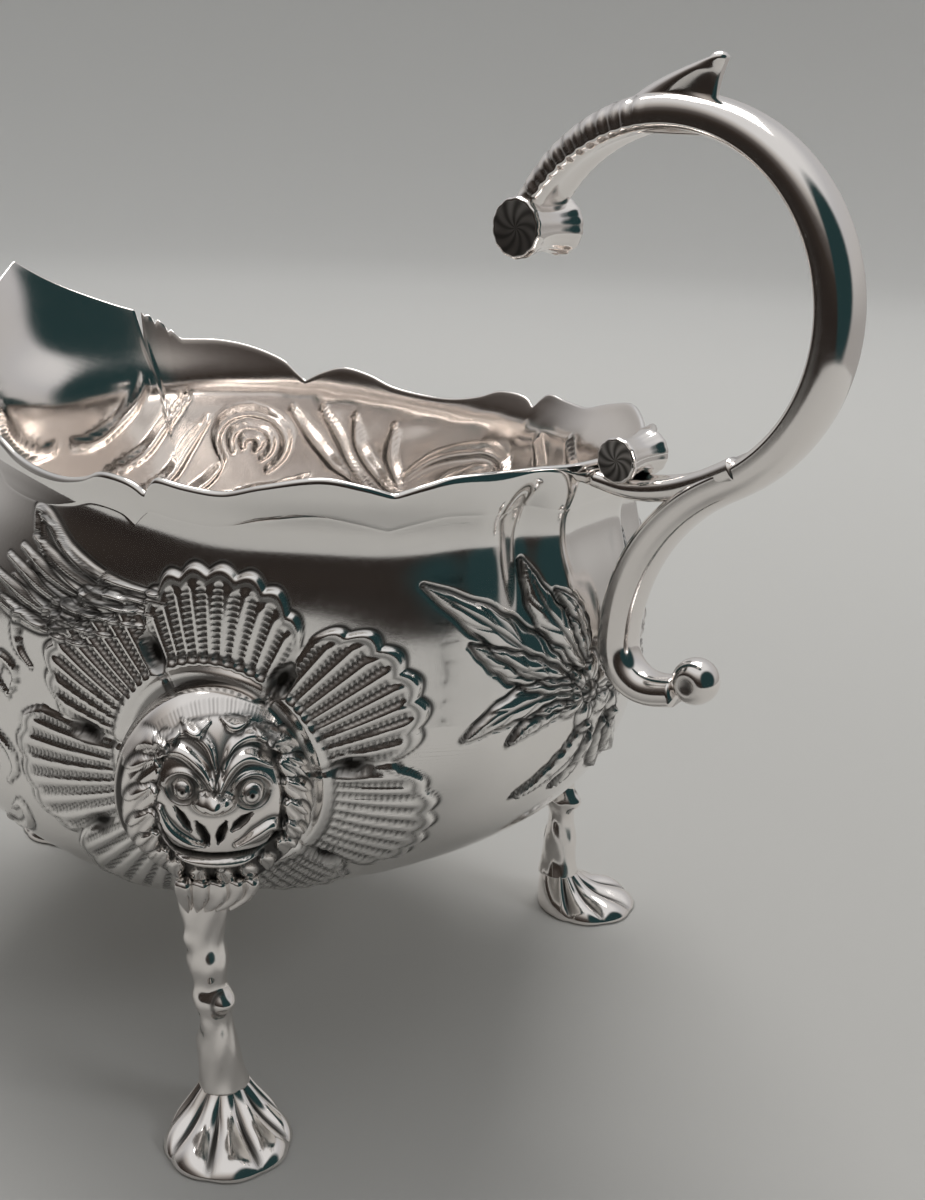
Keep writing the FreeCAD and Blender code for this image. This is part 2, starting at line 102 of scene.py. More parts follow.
def spline(xs, ys, first_slope=None):
    """A cubic spline through a few points, with free ends unless the first slope is given."""
    xs, ys = np.asarray(xs, float), np.asarray(ys, float)
    n = len(xs)
    h = np.diff(xs)
    a = np.zeros((n, n))
    b = np.zeros(n)
    for i in range(1, n - 1):
        a[i, i - 1 : i + 2] = h[i - 1], 2 * (h[i - 1] + h[i]), h[i]
        b[i] = 6 * ((ys[i + 1] - ys[i]) / h[i] - (ys[i] - ys[i - 1]) / h[i - 1])
    a[0, 0] = a[-1, -1] = 1.0
    if first_slope is not None:
        a[0, :2] = 2 * h[0], h[0]
        b[0] = 6 * ((ys[1] - ys[0]) / h[0] - first_slope)
    m = np.linalg.solve(a, b)

    def at(x):
        x = np.clip(x, xs[0], xs[-1])
        i = np.clip(np.searchsorted(xs, x) - 1, 0, n - 2)
        lo, hi = xs[i + 1] - x, x - xs[i]
        return (
            (m[i] * lo**3 + m[i + 1] * hi**3) / (6 * h[i])
            + (ys[i] / h[i] - m[i] * h[i] / 6) * lo
            + (ys[i + 1] / h[i] - m[i + 1] * h[i] / 6) * hi
        )

    return at


def through(points, count=20):
    """A smooth run through a few control points, as `count` points."""
    p = np.asarray(points, float)
    if len(p) == 2:
        return p[0] + (p[1] - p[0]) * np.linspace(0, 1, count)[:, None]
    p = np.vstack([2 * p[0] - p[1], p, 2 * p[-1] - p[-2]])
    t = np.linspace(0, len(p) - 3 - 1e-9, count)
    i = t.astype(int)
    f = (t - i)[:, None]
    a, b, c, d = p[i], p[i + 1], p[i + 2], p[i + 3]
    return 0.5 * (2 * b + (c - a) * f + (2 * a - 5 * b + 4 * c - d) * f**2 + (3 * b - a - 3 * c + d) * f**3)


def unit(v):
    """Vectors scaled to length one."""
    return v / np.maximum(np.linalg.norm(v, axis=-1, keepdims=True), 1e-9)


def place(name, points, faces, material, oxide_and_painted_shade=None, replaced=()):
    """Makes a mesh from millimetres and sets it on the frame."""
    mesh = bpy.data.meshes.new(name)
    mesh.from_pydata((np.asarray(points, float) * MM).tolist(), [], faces)
    mesh.validate()
    mesh.shade_smooth()
    # the darkness carries oxide in hollows and, on the inner swirls and rolled ends, painted shade
    shade = mesh.attributes.new("oxide_and_painted_shade", "FLOAT", "POINT")
    values = np.zeros(len(points)) if oxide_and_painted_shade is None else np.clip(oxide_and_painted_shade, 0, 1)
    shade.data.foreach_set("value", values.astype(np.float32))
    obj = bpy.data.objects.new(name, mesh)
    bpy.context.scene.collection.objects.link(obj)
    mesh.materials.append(material)
    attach(obj, "root")
    for node in replaced:
        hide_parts(node)
    return obj


def sheet_faces(rows, columns, ring=False, flip=False):
    """Quads for a grid of points; with ring, the last column joins the first."""
    r, c = np.meshgrid(np.arange(rows - 1), np.arange(columns - (0 if ring else 1)), indexing="ij")
    c2 = (c + 1) % columns
    low, high = r * columns, (r + 1) * columns
    quads = np.stack([low + c, low + c2, high + c2, high + c], -1).reshape(-1, 4)
    return (quads[:, ::-1] if flip else quads).tolist()


def tube(rings, flip=False):
    """A closed skin over rings of points, with a pole at each end: (points, faces)."""
    rings = np.asarray(rings, float)
    rows, columns = rings.shape[:2]
    points = np.vstack([rings.reshape(-1, 3), rings[0].mean(0), rings[-1].mean(0)])
    faces = sheet_faces(rows, columns, ring=True)
    first, last = rows * columns, rows * columns + 1
    base = (rows - 1) * columns
    for c in range(columns):
        n = (c + 1) % columns
        faces.append([first, n, c])
        faces.append([last, base + c, base + n])
    if flip:
        faces = [f[::-1] for f in faces]
    return points, faces


def with_poles(dark, pole=0.0):
    """The darkness of each ring's points and of the two poles, as `tube` orders them."""
    return np.concatenate([*dark, [pole, pole]])


# -------------------------------------------------------------------------------------- relief
class Relief:
    """Raised and sunk work on a flat chart, in millimetres, with how dark each hollow is."""

    def __init__(self, s, t):
        self.s, self.t = s, t
        self.h = np.zeros_like(s)
        self.dark = np.zeros_like(s)

    def shade(self, dark):
        """Darkens the chart to at least `dark`."""
        self.dark = np.maximum(self.dark, dark)

    def near(self, points, margin):
        """Which of the chart's points lie in a run's box, widened by a margin."""
        lo, hi = np.min(points, 0) - margin, np.max(points, 0) + margin
        return (self.s > lo[0]) & (self.s < hi[0]) & (self.t > lo[1]) & (self.t < hi[1])

    def along(self, points, margin, count=16):
        """The points near a smooth run, their distance to it, and how far along it they lie."""
        run = through(points, count)
        chosen = np.flatnonzero(self.near(run, margin).ravel())
        s, t = self.s.ravel()[chosen], self.t.ravel()[chosen]
        best = np.full(len(s), 1e9)
        u = np.zeros(len(s))
        for i in range(count - 1):
            a, d = run[i], run[i + 1] - run[i]
            f = np.clip(((s - a[0]) * d[0] + (t - a[1]) * d[1]) / (d @ d + 1e-12), 0, 1)
            ds, dt = s - a[0] - f * d[0], t - a[1] - f * d[1]
            dist = np.hypot(ds, dt)
            closer = dist < best
            best = np.where(closer, dist, best)
            u = np.where(closer, (i + f) / (count - 1), u)
        return chosen, best, u

    def stroke(self, points, width, height, taper=(0.4, 0.4), dark=0.0, halo=0.0):
        """A ridge, or with a negative height a groove; its ends narrow by taper."""
        chosen, d, u = self.along(points, width * 2.2)
        start = taper[0] + (1 - taper[0]) * smooth(0, 0.35, u)
        end = taper[1] + (1 - taper[1]) * smooth(0, 0.35, 1 - u)
        w = width * start * end
        x = d / np.maximum(w, 0.05)
        self.h.ravel()[chosen] += height * np.clip(1 - x * x, 0, 1) ** 1.5
        flat = self.dark.ravel()
        if dark:
            flat[chosen] = np.maximum(flat[chosen], dark * np.clip(1.25 - x, 0, 1))
        if halo:
            flat[chosen] = np.maximum(flat[chosen], halo * bell(x - 1.25, 0.28))

    def groove(self, points, width, depth, dark=1.0, taper=(0.4, 0.4)):
        self.stroke(points, width, -depth, taper, dark)

    def oval(self, centre, radii, angle, height, dark=0.0, halo=0.0):
        """A pillow, or with a negative height a hollow, turned by an angle in degrees."""
        c, s = math.cos(math.radians(angle)), math.sin(math.radians(angle))
        x = ((self.s - centre[0]) * c + (self.t - centre[1]) * s) / radii[0]
        y = (-(self.s - centre[0]) * s + (self.t - centre[1]) * c) / radii[1]
        r = np.hypot(x, y)
        self.h += height * np.clip(1 - r * r, 0, 1) ** 0.75
        self.shade(dark * np.clip(1.35 - r, 0, 1))
        self.shade(halo * bell(r - 1.15, 0.14))

    def leaf(self, points, width, height, veins=4, lobes=0.0):
        """A leaf along a run: pillowed, edged dark, with a mid vein and slanting side veins."""
        chosen, d, u = self.along(points, width * 1.8)
        shape = np.sin(np.pi * np.clip(u * 0.94 + 0.04, 0, 1) ** 0.75) ** 0.8
        shape = shape * (1 + lobes * np.cos(2 * np.pi * u * (veins + 0.5)))
        w = np.maximum(width * shape, 0.12)
        x = d / w
        inside = np.clip(1 - x * x, 0, 1)
        self.h.ravel()[chosen] += height * inside**0.6
        slanting = np.clip(np.cos(2 * np.pi * veins * (u - 0.22 * x)), 0, 1) ** 6
        vein = bell(x, 0.12) + 0.75 * (slanting * smooth(0.12, 0.3, x) * smooth(1.0, 0.75, x))
        vein = np.clip(vein, 0, 1) * (x < 1)
        self.h.ravel()[chosen] -= 0.28 * height * vein
        edge = bell((x - 1.08) * w, 0.32)
        self.h.ravel()[chosen] -= 0.25 * edge
        flat = self.dark.ravel()
        flat[chosen] = np.maximum(flat[chosen], np.maximum(0.95 * edge, 0.7 * vein))


# ---------------------------------------------------------------------------------- the bowl
SHIFT_X = 1.95  # from the bowl's own centre to the frame's
KEEL, BELLY, TOP, WALL = 22.0, 64.6, 113.2, 1.0
BELLY_HALF_WIDTH = 49.1
LEVELS = (BELLY, 74, 84, 91, 96, 104, TOP)
half_width = spline(LEVELS, (BELLY_HALF_WIDTH, 48.2, 46.0, 44.7, 46.1, 47.0, 47.8), 0.0)
to_handle = spline(LEVELS, (49.3, 48.7, 47.0, 45.8, 47.4, 48.2, 48.8), 0.0)
to_lip = spline(LEVELS, (74.0, 73.9, 73.8, 74.6, 78.2, 82.0, 86.0), 0.0)
shifted = spline(LEVELS, (20, 17.0, 10.0, 5.0, 2.0, 0, 0), 0.0)
plan_power = spline(LEVELS, (2.7, 2.55, 2.3, 2.1, 2.0, 2.0, 2.0), 0.0)
SIDE_POWER, HANDLE_POWER, LIP_POWER = 3.7, 2.0, 3.1


def level(z):
    """Half width, semi-axis to the handle and to the lip, and shift to the lip, at a height."""
    low = np.clip((BELLY - z) / (BELLY - KEEL), 0, 1)

    def spread(power):
        return (1 - low**power) ** (1 / power)

    shift = shifted(np.maximum(z, BELLY))
    w = half_width(np.maximum(z, BELLY)) * spread(SIDE_POWER)
    a = (to_handle(np.maximum(z, BELLY)) + shift) * spread(HANDLE_POWER)
    b = (to_lip(np.maximum(z, BELLY)) - shift) * spread(LIP_POWER)
    return w, a, b, shift


def wall_point(theta, z):
    """Points on the outer wall at angles from the handle's end and heights."""
    w, a, b, shift = level(z)
    c, s = np.cos(theta), np.sin(theta)
    power = np.where(c > 0, 1.0, 2.0 / plan_power(np.maximum(z, BELLY)))
    x = SHIFT_X - shift + np.where(c > 0, a, b) * np.sign(c) * np.abs(c) ** power
    return np.stack([x, w * np.sign(s) * np.abs(s) ** power, z], -1)


# the rim's height against x from the bowl's centre; each run is one smooth wave, with a notch between
RIM_WAVES = (
    ((47.6, 99.3), (45.6, 99.6), (41, 99.3), (38.5, 98.3), (35.5, 96.8)),
    (
        *((35.5, 96.8), (32.5, 98.1), (28.5, 98.9), (22, 97.3), (16.5, 95.6)),
        *((11, 95.7), (6.9, 96.2), (5.3, 95.3), (3.6, 93.4)),
    ),
    (
        *((3.6, 93.4), (1, 94.9), (-4.4, 95.1), (-8.7, 93.5), (-14.2, 92.4), (-20.8, 92.3)),
        *((-27.4, 93), (-32.9, 94.6), (-38.2, 95.4), (-41.9, 94.2), (-44.8, 92.3)),
    ),
    ((-44.8, 92.3), (-47.4, 94), (-50.4, 95.9), (-56.2, 97.9), (-61.7, 98.8), (-66.9, 98.7), (-72.4, 98.6)),
)
# the pouring lip's edge: distance from the middle against height
LIP_EDGE = (
    *((25, 98.6), (23.6, 100.8), (22, 102.4), (20, 103.5)),
    *((16, 104.9), (9.3, 107.7), (4.5, 110.2), (0, 113)),
)


def rim_table():
    """The rim's heights over half a turn, as angles and heights."""
    angles, heights = [], []
    for wave in RIM_WAVES:
        run = through(wave, 60)
        for x, z in run:
            _, a, b, shift = level(np.array(z))
            reach = a if x + shift > 0 else b
            angles.append(math.acos(float(np.clip((x + shift) / reach, -1, 1))))
            heights.append(z)
    for y, z in through(LIP_EDGE, 60):
        angles.append(math.pi - math.asin(min(y / float(half_width(z)), 1.0)))
        heights.append(z)
    order = np.argsort(angles, kind="stable")
    return np.array(angles)[order], np.array(heights)[order]


RIM_ANGLES, RIM_HEIGHTS = rim_table()


def rim_height(theta):
    """The rim's height, the same on both sides."""
    return np.interp(np.abs(from_handle(theta)), RIM_ANGLES, RIM_HEIGHTS)


def lower_table():
    """Heights below the belly against the share of the way up along the wall."""
    low = 1 - np.linspace(0, 1, 4000) ** 1.6
    w = BELLY_HALF_WIDTH * (1 - low**SIDE_POWER) ** (1 / SIDE_POWER)
    z = BELLY - (BELLY - KEEL) * low
    run = np.concatenate([[0], np.cumsum(np.hypot(np.diff(w), np.diff(z)))])
    return run / run[-1], z


LOWER_SHARE, LOWER_Z = lower_table()


def height_of(theta, q):
    """q runs from 0 at the keel to 1 at the belly and 2 at the rim."""
    lower = np.interp(q, LOWER_SHARE, LOWER_Z)
    return np.where(q < 1, lower, BELLY + (rim_height(theta) - BELLY) * (q - 1))


def ripple(theta, z):
    """The slight unevenness of a hand-raised wall."""
    broad = 0.05 * np.sin(7 * theta + 0.13 * z) * np.sin(0.21 * z + 1.3)
    return broad + 0.035 * np.sin(13 * theta - 0.3 * z + 0.7)


def wall(theta, q):
    """Points and outward normals on the smooth outer wall."""
    z = height_of(theta, q)
    z = np.maximum(z, KEEL + 1e-4)
    step = 0.004
    across = wall_point(theta + step, z) - wall_point(theta - step, z)
    up = wall_point(theta, np.minimum(z + 0.05, TOP)) - wall_point(theta, np.maximum(z - 0.05, KEEL))
    normal = unit(np.cross(across, up))
    normal[z < KEEL + 0.05] = (0, 0, -1)
    return wall_point(theta, z), normal


class Chart:
    """Flat coordinates round a place on the wall: s to the right seen from outside, t up."""

    def __init__(self, theta, q):
        point, normal = wall(np.array([theta]), np.array([q]))
        self.centre, self.normal = point[0], normal[0]
        self.up = unit(np.array([0, 0, 1.0]) - self.normal * self.normal[2])
        self.right = np.cross(self.up, self.normal)

    def flat(self, points):
        """Points as s and t, each as far out as it is in space; the far side is pushed away."""
        d = points - self.centre
        reach = np.linalg.norm(d, axis=-1)
        s, t, out = d @ self.right, d @ self.up, d @ self.normal
        planar = np.hypot(s, t) + 1e-9
        stretch = np.where(out > -30, reach / planar, 4.0)
        return s * stretch, t * stretch


# ---------------------------------------------------------------------------------- materials
class Shading:
    """A material's or a world's node tree, with short calls that add to it."""

    def __init__(self, owner):
        owner.use_nodes = True
        self.nodes, self.links = owner.node_tree.nodes, owner.node_tree.links

    def add(self, kind, **values):
        """A new node, with its sockets and settings given by name."""
        made = self.nodes.new(kind)
        for key, value in values.items():
            if key in made.inputs:
                made.inputs[key].default_value = value
            else:
                setattr(made, key, value)
        return made

    def ramp(self, source, stops):
        """Colours along a value, from (position, colour) stops."""
        made = self.add("ShaderNodeValToRGB")
        elements = made.color_ramp.elements
        elements[0].position, elements[1].position = stops[0][0], stops[-1][0]
        for position, _ in stops[1:-1]:
            elements.new(position)
        for element, (_, colour) in zip(elements, stops):
            element.color = (*colour, 1.0)
        self.links.new(source, made.inputs["Fac"])
        return made.outputs["Color"]

    def blend(self, factor, low, high):
        """Mixes two colours; the high one is a socket or a fixed colour."""
        made = self.add("ShaderNodeMix", data_type="RGBA")
        self.links.new(factor, made.inputs["Factor"])
        self.links.new(low, made.inputs[6])
        if isinstance(high, tuple):
            made.inputs[7].default_value = high
        else:
            self.links.new(high, made.inputs[7])
        return made.outputs[2]


BLACK, WHITE = (0, 0, 0), (1, 1, 1)
# the dark colour for oxide in the hollows, also used for painted shade on the inner swirls and the rolled
# ends
OXIDE_AND_PAINTED_SHADE = (0.022, 0.02, 0.018, 1)
OXIDE_ROUGHNESS = 0.5


def silver(name, tint, rough, wear, grain):
    """Polished silver: oxide in the hollows, with painted shade carried in the same darkness, fine wear, a
    faint hand-raised unevenness.
    """
    m = bpy.data.materials.new(name)
    tree = Shading(m)
    links = tree.links
    shader = tree.nodes["Principled BSDF"]
    shader.inputs["Metallic"].default_value = 1.0
    where = tree.add("ShaderNodeTexCoord")
    oxide_and_painted_shade = tree.add("ShaderNodeAttribute", attribute_name="oxide_and_painted_shade")
    cloud = tree.add("ShaderNodeTexNoise", Scale=55.0, Detail=3.0, Roughness=0.55)
    scratches = tree.add("ShaderNodeTexNoise", Scale=grain, Detail=4.0, Roughness=0.7)
    specks = tree.add("ShaderNodeTexVoronoi", Scale=260.0)
    for texture in (cloud, scratches, specks):
        links.new(where.outputs["Object"], texture.inputs["Vector"])
    metal = tree.ramp(cloud.outputs["Fac"], ((0.3, tuple(v * 0.965 for v in tint)), (0.7, tint)))
    spot = tree.ramp(specks.outputs["Distance"], ((0.015, WHITE), (0.04, BLACK)))
    thin = tree.ramp(cloud.outputs["Fac"], ((0.58, BLACK), (0.66, WHITE)))
    dirt = tree.add("ShaderNodeMath", operation="MULTIPLY")
    links.new(spot, dirt.inputs[0])
    links.new(thin, dirt.inputs[1])
    oxide_dirt_and_painted_shade = tree.add("ShaderNodeMath", operation="ADD", use_clamp=True)
    links.new(oxide_and_painted_shade.outputs["Fac"], oxide_dirt_and_painted_shade.inputs[0])
    links.new(dirt.outputs["Value"], oxide_dirt_and_painted_shade.inputs[1])
    links.new(tree.blend(oxide_dirt_and_painted_shade.outputs["Value"], metal, OXIDE_AND_PAINTED_SHADE), shader.inputs["Base Color"])
    worn = tree.add("ShaderNodeMapRange", **{"To Min": rough * 0.75, "To Max": rough * 1.35 + wear})
    links.new(scratches.outputs["Fac"], worn.inputs["Value"])
    dull = tree.add("ShaderNodeMix", data_type="FLOAT")
    links.new(oxide_dirt_and_painted_shade.outputs["Value"], dull.inputs[0])
    links.new(worn.outputs["Result"], dull.inputs[2])
    dull.inputs[3].default_value = OXIDE_ROUGHNESS
    links.new(dull.outputs[0], shader.inputs["Roughness"])
    bump = tree.add("ShaderNodeBump", Strength=0.12, Distance=0.00004)
    links.new(scratches.outputs["Fac"], bump.inputs["Height"])
    links.new(bump.outputs["Normal"], shader.inputs["Normal"])
    return m


raised_silver = silver("raised_silver", (0.95, 0.925, 0.90), 0.055, 0.03, 900.0)
chased_silver = silver("chased_silver", (0.95, 0.925, 0.90), 0.10, 0.05, 1400.0)
inner_silver = silver("inner_silver", (0.93, 0.885, 0.85), 0.12, 0.06, 500.0)
cast_silver = silver("cast_silver", (0.94, 0.90, 0.87), 0.09, 0.05, 700.0)


def cast(name, rings, dark, node=None, pole=0.0):
    """A cast piece from rings of points and their darkness; it stands for a CAD node when one is named."""
    points, faces = tube(rings)
    oxide_and_painted_shade = with_poles(dark, pole) if dark else None
    return place(name, points, faces, cast_silver, oxide_and_painted_shade, (node,) if node else ())


# ------------------------------------------------------------------------------- bowl patterns
MASK_AT = Chart(math.radians(-59.3), 0.89)
# each lobe's middle and half angle in degrees, and its reach
LOBES = (
    (89, 30, 29.5),
    (147, 27, 32),
    (194, 19.5, 37),
    (235, 21.5, 36),
    (33, 24.5, 31.5),
    (-18, 26.5, 30.5),
    (-68, 23.5, 28),
)
# the dark ovals between the lobes: angle and reach
GAPS = ((175, 21.6), (213, 24.6), (120, 18.8), (58, 17.6), (9, 19.2), (-44.6, 20.2), (-91, 19))


def shell(r):
    """A shell of fluted, beaded, scallop-edged lobes round a mask, dark ovals between them."""
    rho = np.hypot(r.s, r.t)
    phi = np.degrees(np.arctan2(r.t, r.s))
    for centre, half, reach in LOBES:
        d = ((phi - centre + 180) % 360 - 180) / half
        side = np.abs(d)
        lobe = reach - 6.0 * side**3.0
        scallops = half / 21.0 * 2.5
        edge = lobe + 1.1 * np.abs(np.sin(scallops * np.pi * (d + 1))) - 0.5 - rho
        covered = (side < 1.02) & (edge > -3)
        plateau = smooth(-0.1, 1.6, edge) * smooth(1.02, 0.90, side)
        rim = bell(edge - 0.7, 0.5) * smooth(1.02, 0.96, side)
        bead_zone = smooth(2.0, 3.4, edge) * smooth(0.99, 0.93, side) * smooth(15.8, 17.2, rho)
        count = round(half / 21.0 * 3.5 * 2) / 2 + 0.5
        flute = np.cos(2 * np.pi * count * (d + 1))
        valley = smooth(0.30, -0.70, flute)
        twin = 0.5 + 0.5 * np.cos(2 * np.pi * rho / 0.85)
        h = 0.75 * plateau + 0.35 * rim + bead_zone * (0.2 * flute - 0.16 * valley * twin)
        dark = bead_zone * valley * (0.25 + 0.65 * twin)
        dark = np.maximum(dark, 0.95 * bell(edge + 0.25, 0.34))
        dark = np.maximum(dark, 0.6 * bell(edge - 1.75, 0.35) * smooth(1.0, 0.9, side))
        r.h += np.where(covered, h, 0)
        r.shade(np.where(covered, dark, 0))
    for angle, reach in GAPS:
        a = math.radians(angle)
        r.oval((reach * math.cos(a), reach * math.sin(a)), (3.1, 1.7), angle, -1.0, dark=1.0)
    ring = np.hypot(r.s / 14.4, r.t / 15.2)
    r.h += 0.45 * bell(ring - 1.07, 0.05)
    r.shade(0.7 * bell(ring - 1.15, 0.018))
    r.shade(0.6 * smooth(0.98, 0.94, ring))


def plume(r):
    """The scrolling plumes to the lip side of the shell."""
    blades = (
        ((-9, 24.5), (-18, 25.0), (-26, 27.5), (-31, 31.0), (-34.0, 31.8), (-33.5, 29)),
        ((-11, 23.0), (-20, 23.2), (-28, 25.3), (-33.5, 28)),
        ((-13, 21.6), (-21, 21.6), (-29, 23.2), (-36, 26)),
        ((-17, 19.8), (-24, 19.8), (-31, 21.2), (-39, 24)),
        ((-21, 18.2), (-27, 17.8), (-34, 18.8), (-42, 21.0)),
        ((-25, 16.6), (-31, 15.6), (-37, 16.2), (-44, 18.0)),
    )
    for blade in blades:
        r.stroke(blade, 1.25, 0.6, (0.35, 0.5), halo=0.95)
        r.groove([(x, y - 0.35) for x, y in blade], 0.24, 0.2, 0.8)
        r.groove([(x, y + 0.4) for x, y in blade], 0.22, 0.15, 0.6)
    for radius in (5.6, 4.0, 2.4):
        arc = [(-25 + radius * math.cos(a), 14.5 + radius * math.sin(a)) for a in np.linspace(0.4, 2.7, 6)]
        r.stroke(arc, 0.7, 0.45, (0.5, 0.5), halo=0.9)
    curls = (
        ((-33, 8.5), (-36, 11), (-36.5, 14.5), (-34.5, 17)),
        ((-38.5, 2), (-41.5, 4.5), (-40, 8), (-37, 6.5), (-37.5, 3.5)),
        ((-41, -14), (-38.5, -10.5), (-40, -7), (-44, -6), (-46, -9.5), (-43.5, -12)),
        ((-42, -20), (-39, -17.5), (-38.5, -21), (-42, -24.5), (-46.5, -24.5)),
        ((-50, -6), (-57, -1), (-60, 7), (-55, 11), (-52, 6)),
        ((-56, -14), (-64, -9), (-70, -1), (-69, 7)),
    )
    for curl in curls:
        r.stroke(curl, 1.0, 0.6, (0.4, 0.4), halo=0.95)
    for row in range(5):
        fine = [(x + 1.4, y - 1.0 - 0.5 * row) for x, y in blades[row]]
        r.stroke(fine, 0.5, 0.45, (0.35, 0.5), halo=0.9)
    for k in range(5):
        x = -46 - 4.2 * k
        frond = ((x, 8 - 2 * k), (x - 4, 14), (x - 3, 21), (x - 8, 26 + k))
        r.stroke(frond, 1.25, 0.6, (0.3, 0.4), halo=0.9)


SPRAY_AT = Chart(math.radians(-3.5), 1.05)


def spray(r):
    """A flower with leaf sprays, under the handle."""
    leaves = (
        (((-4, 3.5), (-10, 7.2), (-17, 13), (-25, 19.2)), 2.9),
        (((-4.5, 2.2), (-10, 4.6), (-15, 7.2), (-19.5, 10.2)), 2.3),
        (((-3, 0.4), (-8, 1.3), (-14.5, -0.2), (-20.7, -4)), 2.5),
        (((-4.5, -0.8), (-8, -1.6), (-11.5, -3.4), (-14, -5.6)), 1.5),
        (((-1.8, 4.5), (-4.8, 9), (-8.2, 14), (-10.2, 20.8)), 2.4),
        (((-0.5, 5), (-1.8, 9.6), (-3.6, 13.2), (-6.2, 16)), 1.6),
        (((-0.5, -5), (-1.2, -8.8), (-5.0, -12.4), (-10.5, -15.9)), 2.2),
        (((1.2, -6), (0.6, -10), (-0.4, -13.2), (-2.8, -16)), 1.6),
    )
    for run, width in leaves:
        r.leaf(run, width, 0.9, veins=5, lobes=0.07)
    for k in range(6):
        a = math.radians(60 * k + 20)
        near, middle, tip = ((reach * math.cos(a), reach * math.sin(a)) for reach in (1.8, 3.4, 4.4))
        r.oval(middle, (2.4, 1.6), math.degrees(a), 0.9, halo=0.9)
        r.groove((near, tip), 0.25, 0.2, 0.7)
    r.oval((0, 0), (1.5, 1.5), 0, 1.1, halo=1.0)


INNER_STRETCH = 0.84  # millimetres along the wall for a degree round it


def inner_swirls(theta, z):
    """The back of the raised work, as it shows inside the bowl, with painted shade on the flanks of its
    ridges.
    """
    away = np.abs(np.degrees(from_handle(theta)))
    r = Relief(away * INNER_STRETCH, z)
    along, up = 113.5, 79.0
    turns = np.linspace(-0.6, 4.2, 12)
    for grow, width in ((7.4, 1.5), (4.4, 1.2), (1.9, 1.5)):
        arc = [(along + grow * math.cos(a), up + 0.95 * grow * math.sin(a)) for a in turns]
        r.stroke(arc, width, 1.0, (0.5, 0.5))
    runs = (
        (((106, 87), (101, 81), (96, 76), (88, 71)), 1.6),
        (((101, 88), (97, 83), (92, 76), (84, 69)), 1.3),
        (((95, 87), (92, 80), (86, 74), (80, 70)), 1.5),
        (((88, 86), (86, 79), (82, 73)), 1.3),
        (((82, 75), (79, 81), (74, 84.5), (69, 83), (67, 77)), 1.6),
        (((77, 73), (75, 78), (72, 80), (70, 77)), 1.2),
        (((64, 89), (61, 84), (60, 77), (62, 70)), 1.4),
        (((56, 90), (52, 85), (50, 78)), 1.3),
        (((122, 84), (127, 78), (132, 72), (140, 68)), 1.7),
        (((125, 89), (131, 83), (137, 77), (146, 73)), 1.4),
        (((133, 91), (138, 86), (145, 81), (151, 80)), 1.5),
        (((120, 74), (124, 70), (131, 66)), 1.4),
        (((100, 72), (106, 69), (113, 67.5), (120, 66)), 1.5),
    )
    for run, width in runs:
        r.stroke(run, width, 0.9, (0.4, 0.4))
    # painted shade: the flanks of the ridges are darkened, not the ground between them
    return r.h, np.clip(0.9 - r.h, 0, 1) * smooth(0.05, 0.45, r.h) * 0.35


def ornament(points):
    """All the chasing at points of the near side of the wall: (height, darkness)."""
    height = np.zeros(points.shape[:-1])
    dark = np.zeros(points.shape[:-1])
    for chart, makers in CHASING:
        r = Relief(*chart.flat(points))
        for maker in makers:
            maker(r)
        height += r.h
        dark = np.maximum(dark, r.dark)
    return height, dark


FAR_SIDE = np.array([1, -1, 1])  # turns a point of the near side into the far side's
CHASING = ((MASK_AT, (shell, plume)), (SPRAY_AT, (spray,)))


def end_folds(theta, z):
    """The wall pinched into upright folds where the handle's bracket pulls at it."""
    at = np.abs(np.degrees(from_handle(theta)))
    strength = smooth(70, 84, z)
    crests = 0.6 * bell(at - 25, 4) + 0.7 * bell(at - 9, 3.5)
    fold = crests - 1.5 * bell(at - 17, 3.5)
    return strength * fold * smooth(100.5, 93, z)


# ------------------------------------------------------------------------------------ the bowl
# where the chased skins lie: angles from the handle in degrees, and the share of the wall's height
SIDE_SPAN = ((-116, -22), (0.2, 1.86))
FAR_SIDE_SPAN = ((22, 116), SIDE_SPAN[1])
END_SPAN = ((-42, 42), (0.3, 1.84))
SUNK = 0.6  # how far the plain wall sits back under a skin
DEEPEST = 0.5  # how deep a skin may go


def under_skin(theta, q):
    """1 well inside the chased skins, where the plain wall sits back, and 0 outside them."""
    at = np.degrees(from_handle(theta))
    inside = np.zeros_like(theta)
    for (left, right), (low, high) in (SIDE_SPAN, FAR_SIDE_SPAN, END_SPAN):
        across = smooth(left + 1, left + 3.5, at) * smooth(right - 1, right - 3.5, at)
        within = across * smooth(low + 0.01, low + 0.06, q) * smooth(high - 0.01, high - 0.06, q)
        inside = np.maximum(inside, within)
    return inside


